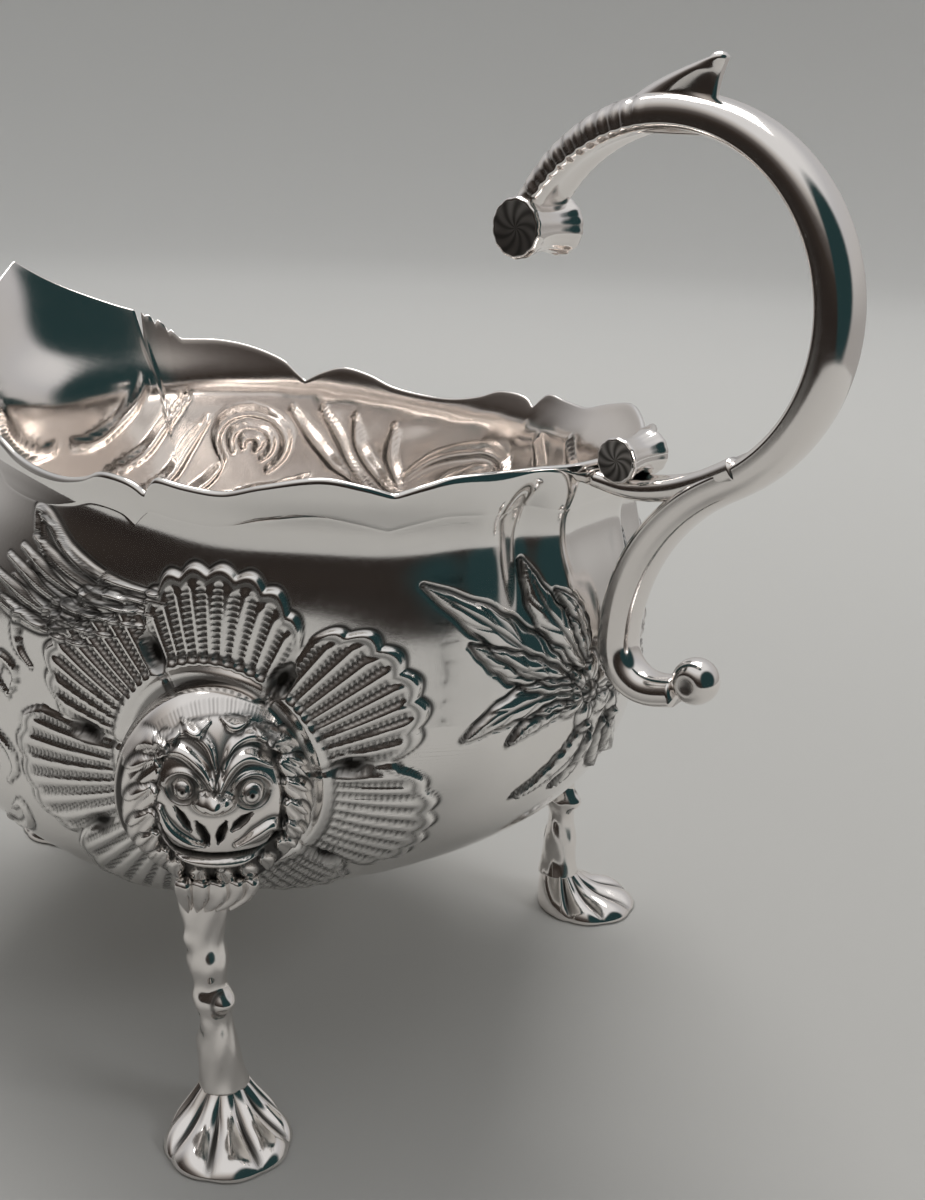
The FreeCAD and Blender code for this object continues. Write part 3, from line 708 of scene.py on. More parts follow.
def bowl_mesh():
    """The whole wall: outside, round the rim, and down the inside."""
    columns = 620
    theta = np.linspace(0, 2 * np.pi, columns, endpoint=False)
    outer_q = np.concatenate([np.linspace(0.04, 1, 34), np.linspace(1, 2, 40)[1:]])
    inner_q = outer_q[::-1]
    rings, dark = [], []
    for q in outer_q:
        p, n = wall(theta, np.full(columns, q))
        sunk = SUNK * under_skin(theta, q)
        rings.append(p + n * (ripple(theta, p[:, 2]) + end_folds(theta, p[:, 2]) - sunk)[:, None])
        dark.append(np.zeros(columns))
    _, n_rim = wall(theta, np.full(columns, 2.0))
    rim = rings[-1].copy()
    for turn in (45, 90, 135):
        a = math.radians(turn)
        inward = n_rim * WALL / 2 * (1 - math.cos(a))
        rings.append(rim - inward + np.array([0, 0, 1.0]) * WALL * 0.45 * math.sin(a))
        dark.append(np.zeros(columns))
    for q in inner_q:
        p, n = wall(theta, np.full(columns, q))
        base = p - n * WALL
        h, d = inner_swirls(theta, p[:, 2])
        fade = smooth(1.93, 1.8, np.full(columns, q)) * smooth(1.0, 1.1, np.full(columns, q))
        away = np.abs(from_handle(theta))
        hammered = np.sin(theta * 31 + 0.5 * p[:, 2]) * np.sin(theta * 13 - 0.3 * p[:, 2] + 1.3)
        h = h + 0.09 * hammered * smooth(2.5, 2.1, away)
        moved = ripple(theta, p[:, 2]) + 0.9 * end_folds(theta, p[:, 2]) - h * fade
        rings.append(base + n * moved[:, None])
        # the inner swirls' painted shade
        dark.append(d * fade)
    points, faces = tube(rings)
    obj = place("bowl_wall", points, faces, raised_silver, with_poles(dark), ("bowl",))
    obj.data.materials.append(inner_silver)
    first_inner = (len(rings) - len(inner_q) - 1) * columns
    index = np.zeros(len(obj.data.polygons), dtype=np.int32)
    index[first_inner : first_inner + len(inner_q) * columns] = 1
    obj.data.polygons.foreach_set("material_index", index)


def patch(name, span, counts, mirrored=False, both_sides=False):
    """Chased work laid on the wall: a fine skin, its edge sunk just under the wall's surface."""
    th, q = np.meshgrid(np.linspace(*np.radians(span[0]), counts[0]), np.linspace(*span[1], counts[1]))
    p, n = wall(th.ravel(), q.ravel())
    h, dark = ornament(p)
    if both_sides:
        far = p[:, 1] > 0
        far_h, far_dark = ornament(p * FAR_SIDE)
        h, dark = np.where(far, far_h, h), np.where(far, far_dark, dark)
    folded = ripple(th.ravel(), p[:, 2]) + end_folds(th.ravel(), p[:, 2])
    u = (th - th.min()) / np.ptp(th)
    v = (q - q.min()) / np.ptp(q)
    edge = np.minimum(np.minimum(u, 1 - u) * counts[0], np.minimum(v, 1 - v) * counts[1]).ravel()
    lift = 0.03 - 0.09 * smooth(3.0, 0.0, edge)
    points = p + n * (folded + np.maximum(h, -DEEPEST) * smooth(0, 8, edge) + lift)[:, None]
    if mirrored:
        points = points * FAR_SIDE
    faces = sheet_faces(counts[1], counts[0], flip=mirrored)
    return place(name, points, faces, chased_silver, dark)


# ---------------------------------------------------------------------------------- the handle
LOOP = (57.15, 121.0, 24.0)  # the loop's centre, x and z, and its radius
TAIL_X, CURL_RADIUS = 53.5, 6.3


def handle_path():
    """The scroll's centre line in the XZ plane: the loop, the tail swinging back to the belly, the curl."""
    cx, cz, r = LOOP
    turns = [math.radians(a) for a in range(152, -63, -4)]
    loop = [(cx + r * math.cos(a), cz + r * math.sin(a)) for a in turns]
    x0, z0 = loop[-1]
    turn = math.radians(62)
    tail_r = (x0 - TAIL_X) / (1 - math.cos(turn))
    tail_z = z0 - tail_r * math.sin(turn)
    tail = []
    for k in range(1, 15):
        a = turn * (1 - k / 14)
        tail.append((TAIL_X + tail_r * (1 - math.cos(a)), tail_z + tail_r * math.sin(a)))
    curl = []
    for k in range(1, 14):
        a = math.radians(105 * k / 13)
        curl.append((TAIL_X + CURL_RADIUS * (1 - math.cos(a)), tail_z - CURL_RADIUS * math.sin(a)))
    end_x, end_z = curl[-1]
    slope = math.radians(15)
    run = [(end_x + 1.4 * k * math.cos(slope), end_z + 1.4 * k * math.sin(slope)) for k in (1, 2)]
    return np.array(loop + tail + curl + run)


def rod(path, sections):
    """Rings along a path in the XZ plane; each section is (offset along the path's left, offset across)."""
    tangent = unit(np.gradient(path, axis=0))
    left = np.stack([-tangent[:, 1], tangent[:, 0]], -1)
    rings = []
    for p, side, (m, y) in zip(path, left, sections):
        ring = np.zeros((len(m), 3))
        ring[:, 0] = p[0] + side[0] * m
        ring[:, 2] = p[1] + side[1] * m
        ring[:, 1] = y
        rings.append(ring)
    return rings


def scroll_piece():
    """The scroll: a bar with a channel along its inner side, its top end cut like a leaf."""
    path = handle_path()
    run = np.concatenate([[0], np.cumsum(np.linalg.norm(np.diff(path, axis=0), axis=1))])
    count = 300
    u = np.linspace(0, 1, count)
    path = np.stack([np.interp(u * run[-1], run, path[:, k]) for k in (0, 1)], -1)
    kernel = np.ones(9) / 9
    for k in (0, 1):
        padded = np.pad(path[:, k], 4, mode="reflect", reflect_type="odd")
        path[:, k] = np.convolve(padded, kernel, mode="valid")
    mm = u * run[-1]
    stops = (0, 12, 40, 75, 100, 115, 130, 146)
    width = spline(stops, (4.5, 4.2, 4.3, 4.3, 3.9, 3.5, 3.2, 2.6))(mm)
    back = spline(stops, (2.5, 2.8, 2.85, 2.85, 2.9, 2.9, 2.6, 2.0))(mm)
    leafy = smooth(24, 20, mm)
    psi, c, s = circle(72)
    sections, oxide_and_painted_shade = [], []
    for i in range(count):
        scallop = leafy[i] * 0.3 * abs(math.sin(math.pi * mm[i] / 1.9))
        hw = width[i] + scallop
        y = hw * np.sign(c) * np.abs(c) ** 0.8
        outer = back[i] * np.abs(s) ** 0.9
        inner = -back[i] * 0.72 * np.abs(s) ** 0.5 * (1 - 0.22 * bell(c, 0.45))
        m = np.where(s >= 0, outer, inner)
        lip = bell(psi - 3.45, 0.16) + bell(3 * np.pi - psi - 3.45, 0.16)
        y = y * (1 + 0.035 * lip)
        dark = 0.5 * bell(psi - 3.22, 0.07) + 0.5 * bell(3 * np.pi - psi - 3.22, 0.07)
        notch = np.clip(math.cos(2 * math.pi * mm[i] / 2.6), 0, 1) ** 4
        cut = leafy[i] * notch * (s > 0.15) * (np.abs(c) > 0.35)
        m = m - 0.22 * cut
        mid = leafy[i] * bell(c, 0.1) * (s > 0)
        m = m - 0.4 * mid
        sections.append((m, y))
        oxide_and_painted_shade.append(np.clip(dark * 0.8 + 0.5 * cut + 0.5 * mid, 0, 1))
    return cast("handle_scroll_band", rod(path, sections), oxide_and_painted_shade, "handle_scroll")


# a rolled end's outline: share of its half length against share of its radius
ROLL_LENGTHS = (0.93, 0.93, 0.94, 0.955, 0.965, 0.97, 0.94, 0.8, 0.45, 0)
ROLL_RADII = (0.05, 0.3, 0.5, 0.7, 0.82, 0.9, 0.96, 1.0, 0.88, 0.8)


def roll_piece(name, x, z, radius, half):
    """A rolled end: a fluted barrel across the handle with a dark, hatched face at each end, painted shade
    for the shadowed inside of the roll.
    """
    stations = [(-half * y, r) for y, r in zip(ROLL_LENGTHS, ROLL_RADII)]
    stations = stations + [(-y, r) for y, r in stations[-2::-1]]
    stations = through(stations, 90)
    psi, c, s = circle(64)
    rings, dark = [], []
    for y, r in stations:
        wave = 1 - 0.035 * (1 - np.abs(np.sin(7 * psi))) - 0.05 * (0.5 + 0.5 * np.sin(2 * psi + 1.0))
        across, up = radius * r * c * wave, radius * r * s * wave
        rings.append(np.stack([x + across, np.full(64, y), z + up], -1))
        # painted shade: each end face and its pole are painted dark, with spiral turns a little darker
        # still, in place of the roll's shadowed inside
        face = smooth(0.93, 0.86, r) if abs(y) > half * 0.6 else 0.0
        painted_spiral_turns = 0.5 + 0.5 * np.cos(9 * psi + 7 * r)
        dark.append((0.62 + 0.3 * painted_spiral_turns) * face)
    return cast(name, rings, dark, pole=0.8)


def bracket_piece():
    """The strap from the rim to the scroll, hollowed along its top."""
    path = through(((49.9, 97.2), (55, 96.6), (61, 97.6), (66, 99.6), (70.8, 102.2)), 70)
    u = np.linspace(0, 1, 70)
    _, c, s = circle(56)
    sections = []
    for k in range(70):
        hw = 4.3 - 0.9 * math.sin(math.pi * u[k]) + 0.2 * u[k]
        depth = 1.5 + 0.7 * u[k]
        channel = np.where(s > 0, 1 - 0.35 * bell(c, 0.5), 1)
        section = depth * np.sign(s) * np.abs(s) ** 0.7 * channel
        sections.append((section, hw * np.sign(c) * np.abs(c) ** 0.8))
    return cast("handle_rim_strap", rod(path, sections), [], "handle_rim_bracket")


def spur_piece():
    """The fin that stands on the loop's top, widest at its foot."""
    rings, dark = [], []
    _, c, s = circle(60)
    levels = np.concatenate([np.linspace(0, 1, 40), [1.04, 1.07, 1.085]])
    for t in levels:
        f = min(t, 1.0)
        cap = math.sqrt(max(0.0, 1 - ((t - 0.96) / 0.13) ** 2)) if t > 0.96 else 1.0
        lo = 47.3 + 13.3 * f**2.1
        hi = 62.9 - 1.0 * math.sin(math.pi * f)
        z = 142.6 + 9.3 * f + 8.0 * (t - f)
        centre, half = (lo + hi) / 2, max((hi - lo) / 2, 1.2) * cap
        w = (2.7 - 1.25 * f) * cap
        swell = math.sin(math.pi * min(f / 0.85, 1))
        pinch = 1 - 0.45 * bell(c - 0.25, 0.42) * swell
        across = w * np.sign(s) * np.abs(s) ** 0.8 * pinch
        rings.append(np.stack([centre + half * c, across, np.full(60, z)], -1))
        dark.append(0.55 * bell(c - 0.3, 0.3) * (np.abs(s) > 0.3) * swell)
    return cast("handle_thumb_leaf", rings, dark, "handle_thumb_spur")


KNOB_X, KNOB_Z, KNOB_RADIUS, KNOB_HALF = 66.6, 71.2, 3.3, 3.5


def knob_piece():
    """The ball at the end of the curl, dimpled on both sides."""
    rings, dark = [], []
    _, c, s = circle(48)
    for a in np.linspace(0.06, np.pi - 0.06, 30):
        r, y = KNOB_RADIUS * math.sin(a), -KNOB_HALF * math.cos(a)
        dimple = 1.0 * math.exp(-((r / 1.3) ** 2))
        y = y - math.copysign(dimple, y)
        rings.append(np.stack([KNOB_X + r * c, np.full(48, y), KNOB_Z + r * s], -1))
        dark.append(np.full(48, 0.85 * math.exp(-((r / 1.15) ** 2))))
    return cast("handle_curl_knob", rings, dark, pole=0.8)


# ---------------------------------------------------------------------------------------- legs
MASK_HALF_WIDTH, MASK_HALF_HEIGHT, MASK_DEPTH = 14.0, 15.2, 8.2
MASK_FORWARD, MASK_ASIDE, MASK_Z = 1.05, -0.27, 54.6  # from the ankle
FACE_SCALE_U, FACE_SCALE_V = 0.93, 0.97  # the face is drawn a little smaller than its numbers


def face_relief(u, v):
    """A lion's face: crown band, fringe, brows, ringed eyes, snub nose, wide mouth, mane and beard."""
    r = Relief(u, v)
    rho = np.hypot(u / MASK_HALF_WIDTH, v / MASK_HALF_HEIGHT)
    phi = np.degrees(np.arctan2(v, u))
    round_face = np.hypot((u + 0.2) / 8.9, (v - 1.2) / 10.2)
    around = smooth(0.98, 1.08, round_face) * smooth(9.5, 7.5, v)
    r.h -= 0.9 * around
    r.shade(0.9 * around)
    locks = (
        ((-7.8, 9.0), (-10.6, 8.4), (-13.4, 5.0), 1.9),
        ((-9.0, 6.6), (-11.2, 4.6), (-13.6, 0.6), 2.0),
        ((-9.6, 3.0), (-11.6, 0.6), (-13.4, -3.6), 1.9),
        ((-9.6, -0.6), (-11.4, -3.4), (-12.6, -7.4), 1.8),
        ((-9.2, -3.8), (-10.6, -6.6), (-11.2, -10.6), 1.7),
        ((-7.8, -6.6), (-9.0, -9.4), (-8.8, -13.0), 1.6),
        ((7.8, 9.0), (10.6, 8.2), (13.4, 4.8), 1.8),
        ((9.2, 6.2), (11.4, 4.4), (13.7, 1.0), 1.8),
        ((9.8, 3.2), (11.8, 1.0), (13.5, -2.8), 1.7),
        ((10.0, 0.0), (11.6, -2.4), (12.9, -6.0), 1.7),
        ((9.9, -3.2), (11.3, -5.6), (11.9, -9.2), 1.6),
        ((8.8, -6.0), (10.4, -8.4), (10.2, -12.0), 1.6),
        ((-6.0, -8.4), (-6.5, -10.6), (-5.9, -13.6), 1.5),
        ((-3.0, -9.6), (-3.0, -12.0), (-2.0, -15.0), 1.5),
        ((0.2, -9.6), (1.0, -12.0), (2.0, -14.9), 1.5),
        ((3.4, -9.4), (4.4, -11.4), (5.0, -14.0), 1.4),
        ((6.2, -8.2), (7.2, -10.0), (7.4, -12.6), 1.3),
    )
    for *lock, width in locks:
        chosen, d, along = r.along(lock, width * 1.8)
        shape = np.sin(np.pi * np.clip(0.06 + 0.92 * along, 0, 1) ** 0.8) ** 0.6
        x = d / np.maximum(width * shape, 0.1)
        inside = smooth(1.0, 0.8, x)
        r.dark[chosen] = r.dark[chosen] * (1 - inside) + 0.35 * inside * bell(x, 0.12)
        r.h[chosen] += 1.5 * np.clip(1 - x * x, 0, 1) ** 0.6 - 0.25 * bell(x, 0.15) * inside
        r.dark[chosen] = np.maximum(r.dark[chosen], 0.95 * bell(x - 1.12, 0.14))
    # brows, two arches a side that meet over the nose
    for arch, width, height, taper, halo in (
        (((-8.6, 7.8), (-5.6, 8.9), (-2.7, 7.2), (-0.9, 4.6)), 1.05, 1.15, (0.35, 0.7), 0.85),
        (((7.9, 6.2), (4.5, 8.0), (1.9, 7.0), (0.2, 4.2)), 1.05, 1.15, (0.35, 0.7), 0.85),
        (((-7.0, 10.0), (-4.2, 11.2), (-1.4, 9.6), (-0.4, 6.6)), 0.8, 0.7, (0.3, 0.5), 0.75),
        (((8.4, 8.4), (5.2, 10.4), (2.2, 9.6), (0.6, 6.8)), 0.8, 0.7, (0.3, 0.5), 0.75),
    ):
        r.stroke(arch, width, height, taper, halo=halo)
    # eyes: a dark round socket, a ball, a drilled pupil
    for at, socket, ball in (((-5.1, 3.7), 2.35, 1.5), ((4.7, 2.9), 2.6, 1.8)):
        r.oval(at, (socket, socket * 0.92), 0, -1.0, dark=1.0)
        x = np.hypot(u - at[0], v - at[1]) / ball
        inside = smooth(1.05, 0.9, x)
        r.dark *= 1 - inside
        r.h += 1.9 * np.sqrt(np.clip(1 - x * x, 0, 1))
        r.shade(0.8 * bell(x - 0.55, 0.1))
        r.shade(smooth(0.3, 0.15, x))
        turns = np.linspace(0.2, 2.9, 7)
        lid = [(at[0] + 1.12 * socket * math.cos(a), at[1] + 1.05 * socket * math.sin(a)) for a in turns]
        r.stroke(lid, 0.45, 0.5)
    # nose: a broad snub, nostrils, and the folds that run from it to the mouth
    r.stroke(((-0.3, 6.0), (-0.5, 3.6), (-0.7, 2.0)), 1.5, 0.7, (0.5, 1.0))
    r.oval((-0.7, 1.9), (3.1, 1.8), 0, 2.1, halo=0.5)
    for fold, wide, deep in (
        (((-6.1, 1.2), (-5.0, -0.6), (-4.0, -2.4)), 0.65, 0.7),
        (((4.6, 0.0), (3.0, -1.2), (1.7, -2.4)), 0.75, 0.7),
        (((-3.3, -0.9), (-2.3, -2.7), (-1.5, -4.6)), 0.8, 0.9),
        (((1.0, -1.0), (0.3, -2.7), (-0.2, -4.4)), 0.8, 0.9),
    ):
        r.groove(fold, wide, deep, 1.0, (0.3, 0.3))
    # cheeks and mouth
    r.stroke(((-8.4, 0.8), (-7.4, -2.0), (-5.0, -4.0), (-2.4, -4.6)), 1.1, 1.0, (0.5, 0.4), halo=0.85)
    r.stroke(((8.7, -3.6), (7.6, -2.4), (5.4, -3.4), (2.4, -4.8)), 1.15, 1.1, (0.7, 0.4), halo=0.85)
    mouth = ((-8.4, -1.6), (-6.9, -5.1), (-3.4, -6.3), (1.2, -6.6), (5.8, -6.1), (8.9, -4.2))
    r.groove(mouth, 0.6, 1.0, 1.0, (0.5, 0.5))
    r.stroke(((-6.2, -6.9), (-2.5, -7.9), (2.5, -8.1), (6.4, -7.2)), 1.0, 0.9, (0.4, 0.4), halo=0.8)
    # fringe under the engraved crown band
    for scallop in (
        ((-8.8, 9.8), (-7.2, 9.9), (-5.6, 11.0)),
        ((-5.0, 12.2), (-3.2, 11.3), (-1.2, 12.3)),
        ((0.6, 12.7), (2.4, 11.7), (4.4, 12.2)),
        ((5.2, 11.4), (7.0, 10.2), (8.8, 10.2)),
    ):
        r.stroke(scallop, 0.85, 0.8, (0.3, 0.3), halo=0.9)
    arc = smooth(24, 32, phi) * smooth(156, 148, phi)
    band = smooth(0.845, 0.865, rho) * smooth(0.975, 0.955, rho) * arc
    lines = 0.5 + 0.5 * np.cos(2 * np.pi * phi / 2.6)
    r.h -= 0.14 * band * (1 - lines)
    r.shade(0.4 * band * (1 - lines) ** 2)
    edge = bell(rho - 0.85, 0.010) * arc
    r.h -= 0.15 * edge
    r.shade(0.6 * edge)
    return r


def mask_mesh():
    """The mask in its own frame: u across, v up, n out."""
    rows, columns = 74, 300
    rho, phi = np.meshgrid(np.linspace(0.012, 1.0, rows), circle(columns)[0], indexing="ij")
    v = rho * MASK_HALF_HEIGHT * np.sin(phi)
    u = rho * MASK_HALF_WIDTH * np.cos(phi) * (1 - 0.16 * smooth(-4, -15, v))
    dome = MASK_DEPTH * (1 - rho**2.3) ** 0.74
    r = face_relief(u.ravel() / FACE_SCALE_U, v.ravel() / FACE_SCALE_V)
    r.h, r.dark = r.h.reshape(u.shape), r.dark.reshape(u.shape)
    n = dome + r.h * smooth(1.0, 0.9, rho)
    dark = r.dark * smooth(1.0, 0.97, rho)
    rings = list(np.stack([u, v, n], -1)[::-1])
    dark = list(dark[::-1])
    back = [rings[0] * np.array([1, 1, 0]) + np.array([0, 0, -3.0])]
    points, faces = tube(back + rings)
    return points, faces, with_poles([np.full(columns, 0.6), *dark])


def tuft(path, width, depth):
    """A tapering lock of beard: rings along a run in the mask's frame."""
    run = through(path, 18)
    tangent = unit(np.gradient(run, axis=0))
    side = unit(np.cross(tangent, np.array([0, 0, 1.0])))
    out = np.cross(side, tangent)
    psi = np.linspace(0, 2 * np.pi, 20, endpoint=False)
    rings = []
    for k, (p, a, b) in enumerate(zip(run, side, out)):
        f = k / 17
        w = max(width * (math.sin(math.pi * min(0.25 + 0.75 * f, 1.0)) ** 0.8), 0.08)
        ridge = 1 + 0.25 * np.cos(3 * psi)
        out_by = depth * w / width * np.sin(psi) * ridge
        rings.append(p + a * (w * np.cos(psi))[:, None] + b * out_by[:, None])
    return rings


STEM_LINE = (
    *((-1.2, -2.4, 44), (-0.6, -2.5, 37), (-0.4, -2.4, 32.5), (-0.1, -2.0, 26)),
    *((0, -1.3, 20.2), (0.1, -0.6, 11.7), (0, 0, 6.5)),
)
STEM_HEIGHTS = (6, 9, 12, 16, 18.5, 21, 23.5, 26.5, 30, 33.5, 38, 44)
STEM_RADII = (3.9, 3.3, 3.1, 2.5, 2.35, 3.05, 2.35, 2.95, 2.55, 3.1, 3.7, 4.2)


def stem_mesh():
    """The knobbly leg below the mask, in the ankle's frame: forward, side, up."""
    line = through(STEM_LINE, 150)
    radius = spline(STEM_HEIGHTS, STEM_RADII)(line[:, 2])
    psi, c, s = circle(64)
    rings, dark = [], []
    spurs = ((21, 0.6, 1.0), (26.5, 2.4, 0.8), (13.5, 4.0, 0.7), (31, 5.2, 0.8), (17.5, 5.6, 0.5))
    for p, r in zip(line, radius):
        bump = np.zeros(64)
        shade = np.zeros(64)
        for height, at, size in spurs:
            d = np.hypot((p[2] - height) / 1.5, np.angle(np.exp(1j * (psi - at))) / 0.5)
            bump += size * np.exp(-(d**2))
            ringed = 0.8 * bell(d - 1.3, 0.22) * (np.sin(psi * 2 + height) > -0.2)
            shade = np.maximum(shade, ringed)
        grain = 0.10 * np.sin(3 * psi + 0.5 * p[2]) + 0.05 * np.sin(7 * psi - 0.9 * p[2])
        rr = r + bump + grain
        rings.append(np.stack([p[0] + rr * c, p[1] + rr * s, np.full(64, p[2])], -1))
        dark.append(shade)
    points, faces = tube(rings, flip=True)
    return points, faces, with_poles(dark)


def foot_mesh():
    """A fan of webbed toes from the ankle: forward, side, up."""
    rows, columns = 64, 240
    beta = np.linspace(-np.pi, np.pi, columns, endpoint=False)
    degrees = np.degrees(beta)
    toes = np.abs(np.cos(np.pi * degrees / 30))
    front = smooth(100, 80, np.abs(degrees))
    reach = 5.7 * np.cos(beta) + np.sqrt(9.3**2 - (5.7 * np.sin(beta)) ** 2)
    reach = reach + 0.4 * (toes - 0.8) * front
    rings, dark = [], []
    for t in np.linspace(0.03, 1.0, rows):
        r = reach * t
        z = 2.5 * (1 - t**5) ** 0.5 + 7.0 * bell(r, 4.6) + 0.9 * (1 - t) * smooth(0.1, 0.5, t)
        rise = smooth(0.16, 0.5, t) * (1 - t**10)
        z = z + front * rise * 1.25 * (toes**0.7 - 0.62)
        z = np.where(t >= 1, 0.35, np.maximum(z, 0.35))
        rings.append(np.stack([r * np.cos(beta), r * np.sin(beta), z], -1))
        dark.append(front * rise * smooth(0.42, 0.1, toes) * 0.95)
    rings.append(rings[-1] * np.array([0.985, 0.985, 0]))
    dark.append(np.zeros(columns))
    points, faces = tube(rings)
    points[-1, 2] = 0.0
    return points, faces, with_poles(dark)


def axes(azimuth):
    """Forward, side and up for an azimuth in degrees."""
    a = math.radians(azimuth)
    forward = np.array([math.cos(a), math.sin(a), 0])
    return forward, np.array([-math.sin(a), math.cos(a), 0]), np.array([0, 0, 1.0])


# the locks under each mask: where one starts and ends across, and its width
BEARD = ((-5.0, -4.4, 1.4), (-2.6, -3.2, 1.5), (-0.2, -2.2, 1.6), (2.2, -0.6, 1.5), (4.4, 1.2, 1.3))


def leg(label, node, ankle, azimuth, foot_turn, mirrored):
    """Sets one mask, its beard, stem and foot at an ankle, facing an azimuth in degrees."""
    forward, side, up = axes(azimuth)
    base = np.array([*ankle, 0.0])
    flip = np.array([1, -1 if mirrored else 1, 1])

    def put(name, mesh, axes, origin, replaced=()):
        points, faces, oxide_and_painted_shade = mesh
        world = origin + points[:, :1] * axes[0] + points[:, 1:2] * axes[1] + points[:, 2:] * axes[2]
        if mirrored:
            faces = [f[::-1] for f in faces]
        return place(f"{name}_{label}", world * flip, faces, cast_silver, oxide_and_painted_shade, replaced)

    mask_origin = base + forward * MASK_FORWARD + side * MASK_ASIDE + up * MASK_Z
    put("mask", mask_mesh(), (side, up, forward), mask_origin, (node,))
    beard_points, beard_faces, beard_dark = [], [], []
    start = 0
    for x, tip, w in BEARD:
        path = ((x, -11.8, 4.2), (x * 0.9 - 0.2, -14.6, 3.6 - 0.2 * abs(x)), (tip, -18.2, 1.6))
        points, faces = tube(tuft(path, w, 1.3))
        beard_points.append(points)
        beard_faces += [[i + start for i in f] for f in faces]
        beard_dark.append(np.full(len(points), 0.12))
        start += len(points)
    beard = (np.vstack(beard_points), beard_faces, np.concatenate(beard_dark))
    put("beard", beard, (side, up, forward), mask_origin)
    put("leg_stem", stem_mesh(), (forward, side, up), base)
    put("foot", foot_mesh(), axes(azimuth + foot_turn), base)


# ------------------------------------------------------------------------------------- making
bowl_mesh()
patch("shell_near", SIDE_SPAN, (340, 270))
patch("shell_far", SIDE_SPAN, (340, 270), mirrored=True)
patch("spray_handle", END_SPAN, (310, 270), both_sides=True)
scroll_piece()
roll_piece("handle_top_roll", 35.95, 129.6, 4.2, 5.7)
roll_piece("handle_rim_roll", 53.8, 100.6, 3.2, 4.7)
bracket_piece()
spur_piece()
knob_piece()
SIDE_ANKLE, LIP_ANKLE = (18.0, -43.2), (-68.6, 0.0)
leg("near", "leg_handle_near", SIDE_ANKLE, -42, 5, False)
leg("far", "leg_handle_far", SIDE_ANKLE, -42, 5, True)
leg("lip", "leg_lip", LIP_ANKLE, 180, 0, False)


# -------------------------------------------------------------------------------------- stage
def paper():
    """Pale paper with painted shade: a little darker round the object and paler further out, with a faint
    random tone.
    """
    m = bpy.data.materials.new("paper")
    tree = Shading(m)
    shader = tree.nodes["Principled BSDF"]
    shader.inputs["Roughness"].default_value = 0.85
    where = tree.add("ShaderNodeTexCoord")
    noise = tree.add("ShaderNodeTexNoise", Scale=6.0)
    tree.links.new(where.outputs["Object"], noise.inputs["Vector"])
    away = tree.add("ShaderNodeVectorMath", operation="LENGTH")
    tree.links.new(where.outputs["Object"], away.inputs[0])
    tone_and_painted_shade = tree.add("ShaderNodeMath", operation="MULTIPLY_ADD")
    tone_and_painted_shade.inputs[1].default_value = 0.06
    tree.links.new(noise.outputs["Fac"], tone_and_painted_shade.inputs[0])
    tree.links.new(away.outputs["Value"], tone_and_painted_shade.inputs[2])
    # painted shade and light: the paper is darker near the middle, where the object stands, and paler
    # further out
    painted_shade_stops = ((0.15, (0.52, 0.515, 0.50)), (1.0, (0.74, 0.74, 0.73)))
    tree.links.new(tree.ramp(tone_and_painted_shade.outputs["Value"], painted_shade_stops), shader.inputs["Base Color"])
    return m


def stage_piece(name, points, faces, material):
    """A mesh of the surroundings, in metres."""
    mesh = bpy.data.meshes.new(name)
    mesh.from_pydata([tuple(p) for p in points], [], faces)
    mesh.validate()
    mesh.shade_smooth()
    mesh.materials.append(material)
    obj = bpy.data.objects.new(name, mesh)
    bpy.context.scene.collection.objects.link(obj)
    return obj


def dish(name, profile, material):
    """A sheet turned round the vertical axis, from (radius, height) points in metres."""
    psi = np.linspace(0, 2 * np.pi, 96, endpoint=False)
    rings = [np.stack([r * np.cos(psi), r * np.sin(psi), np.full(96, z)], -1) for r, z in profile]
    faces = sheet_faces(len(profile), 96, ring=True, flip=True)
    return stage_piece(name, np.concatenate(rings), faces, material)


FLOOR_Z, TABLE_RADIUS, BEND_AT, BEND_RADIUS = -0.0001, 0.42, 1.2, 0.9
paper_with_painted_shade = paper()
dish("table_paper", [(r, FLOOR_Z) for r in (0.00001, 0.2, TABLE_RADIUS)], paper_with_painted_shade)
curve = [(TABLE_RADIUS, FLOOR_Z), (BEND_AT, FLOOR_Z)]
for a in np.linspace(0.05, math.pi / 2, 14):
    curve.append((BEND_AT + BEND_RADIUS * math.sin(a), BEND_RADIUS * (1 - math.cos(a))))
backdrop = dish("backdrop", curve + [(2.1, 3.2)], paper_with_painted_shade)
backdrop.visible_glossy = False

# the surroundings: a pale side, a dim room in front, and a darker teal stretch by the handle
world = bpy.data.worlds.new("studio")
bpy.context.scene.world = world
around = Shading(world)
background = around.nodes["Background"]
direction = around.add("ShaderNodeTexCoord")


def along_world(vector):
    """How far the world's direction lies along a vector."""
    made = around.add("ShaderNodeVectorMath", operation="DOT_PRODUCT")
    made.inputs[1].default_value = tuple(np.array(vector) / np.linalg.norm(vector))
    around.links.new(direction.outputs["Generated"], made.inputs[0])
    return made.outputs["Value"]


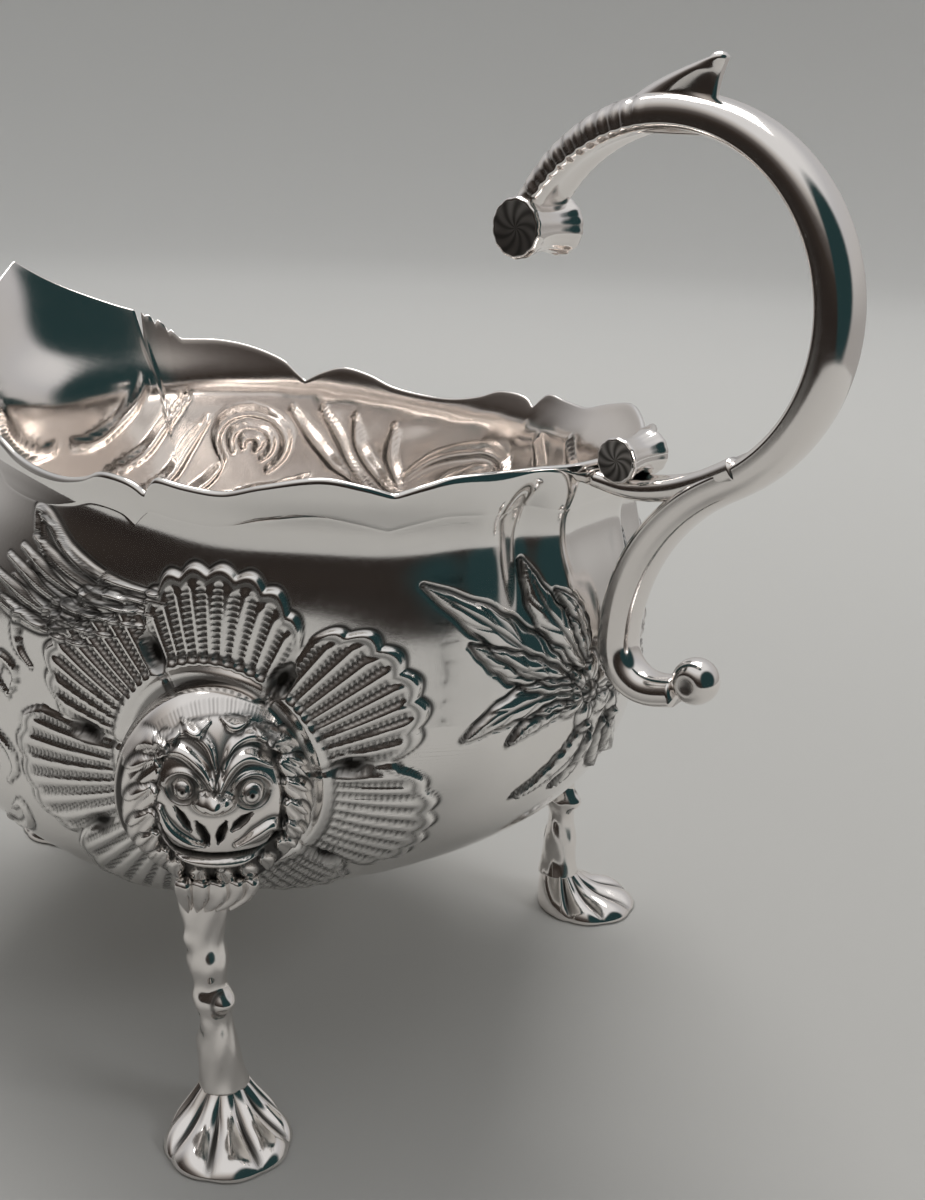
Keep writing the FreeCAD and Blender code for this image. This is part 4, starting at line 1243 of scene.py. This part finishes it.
def world_ramp(source, stops):
    """A ramp over a cosine, from -1 to 1."""
    halved = around.add("ShaderNodeMapRange", **{"From Min": -1.0})
    around.links.new(source, halved.inputs["Value"])
    return around.ramp(halved.outputs["Result"], [((at + 1) / 2, colour) for at, colour in stops])


PALE_SIDE = (
    (-0.1, (0.30, 0.29, 0.28)),
    (0.15, (0.42, 0.41, 0.40)),
    (0.5, (0.45, 0.45, 0.46)),
    (0.8, (0.62, 0.62, 0.62)),
)
DIM_ROOM = (
    (-0.05, (0.02, 0.016, 0.014)),
    (0.18, (0.03, 0.024, 0.02)),
    (0.42, (0.09, 0.08, 0.075)),
    (0.66, (0.40, 0.38, 0.36)),
    (0.85, (0.62, 0.62, 0.62)),
)
TEAL = (0.015, 0.034, 0.036, 1)
height_axis = along_world((0, 0, 1))
to_room = world_ramp(along_world((0.35, -0.93, 0.0)), ((-0.25, BLACK), (0.25, WHITE)))
to_teal = world_ramp(along_world((0.90, 0.05, 0.30)), ((0.72, BLACK), (0.82, WHITE)))
view = around.blend(to_room, world_ramp(height_axis, PALE_SIDE), world_ramp(height_axis, DIM_ROOM))
view = around.blend(to_teal, view, TEAL)
around.links.new(view, background.inputs["Color"])
background.inputs["Strength"].default_value = 1.1


def softbox(name, at, size, aim, power, tint):
    """A soft rectangular light at a place, facing another."""
    light = bpy.data.lights.new(name, "AREA")
    light.shape = "RECTANGLE"
    light.size, light.size_y = size
    light.energy = power
    light.color = tint
    obj = bpy.data.objects.new(name, light)
    d = unit(np.array(at, float) - np.array(aim, float))
    side = unit(np.cross((0, 0, 1.0), d))
    top = np.cross(d, side)
    m = Matrix.Identity(4)
    for row in range(3):
        m[row] = (side[row], top[row], d[row], at[row])
    obj.matrix_world = m
    bpy.context.scene.collection.objects.link(obj)
    return obj


softbox("top_soft", (-0.25, 0.35, 1.15), (0.8, 0.6), (0, 0, 0.05), 7, (1.0, 0.985, 0.96))
side_light = softbox("side_soft", (0.95, 0.25, 0.75), (0.35, 0.3), (0, 0, 0.08), 1.6, (0.97, 0.985, 1.0))
side_light.visible_glossy = False

# ------------------------------------------------------------------------------------- finish
bpy.context.view_layer.update()
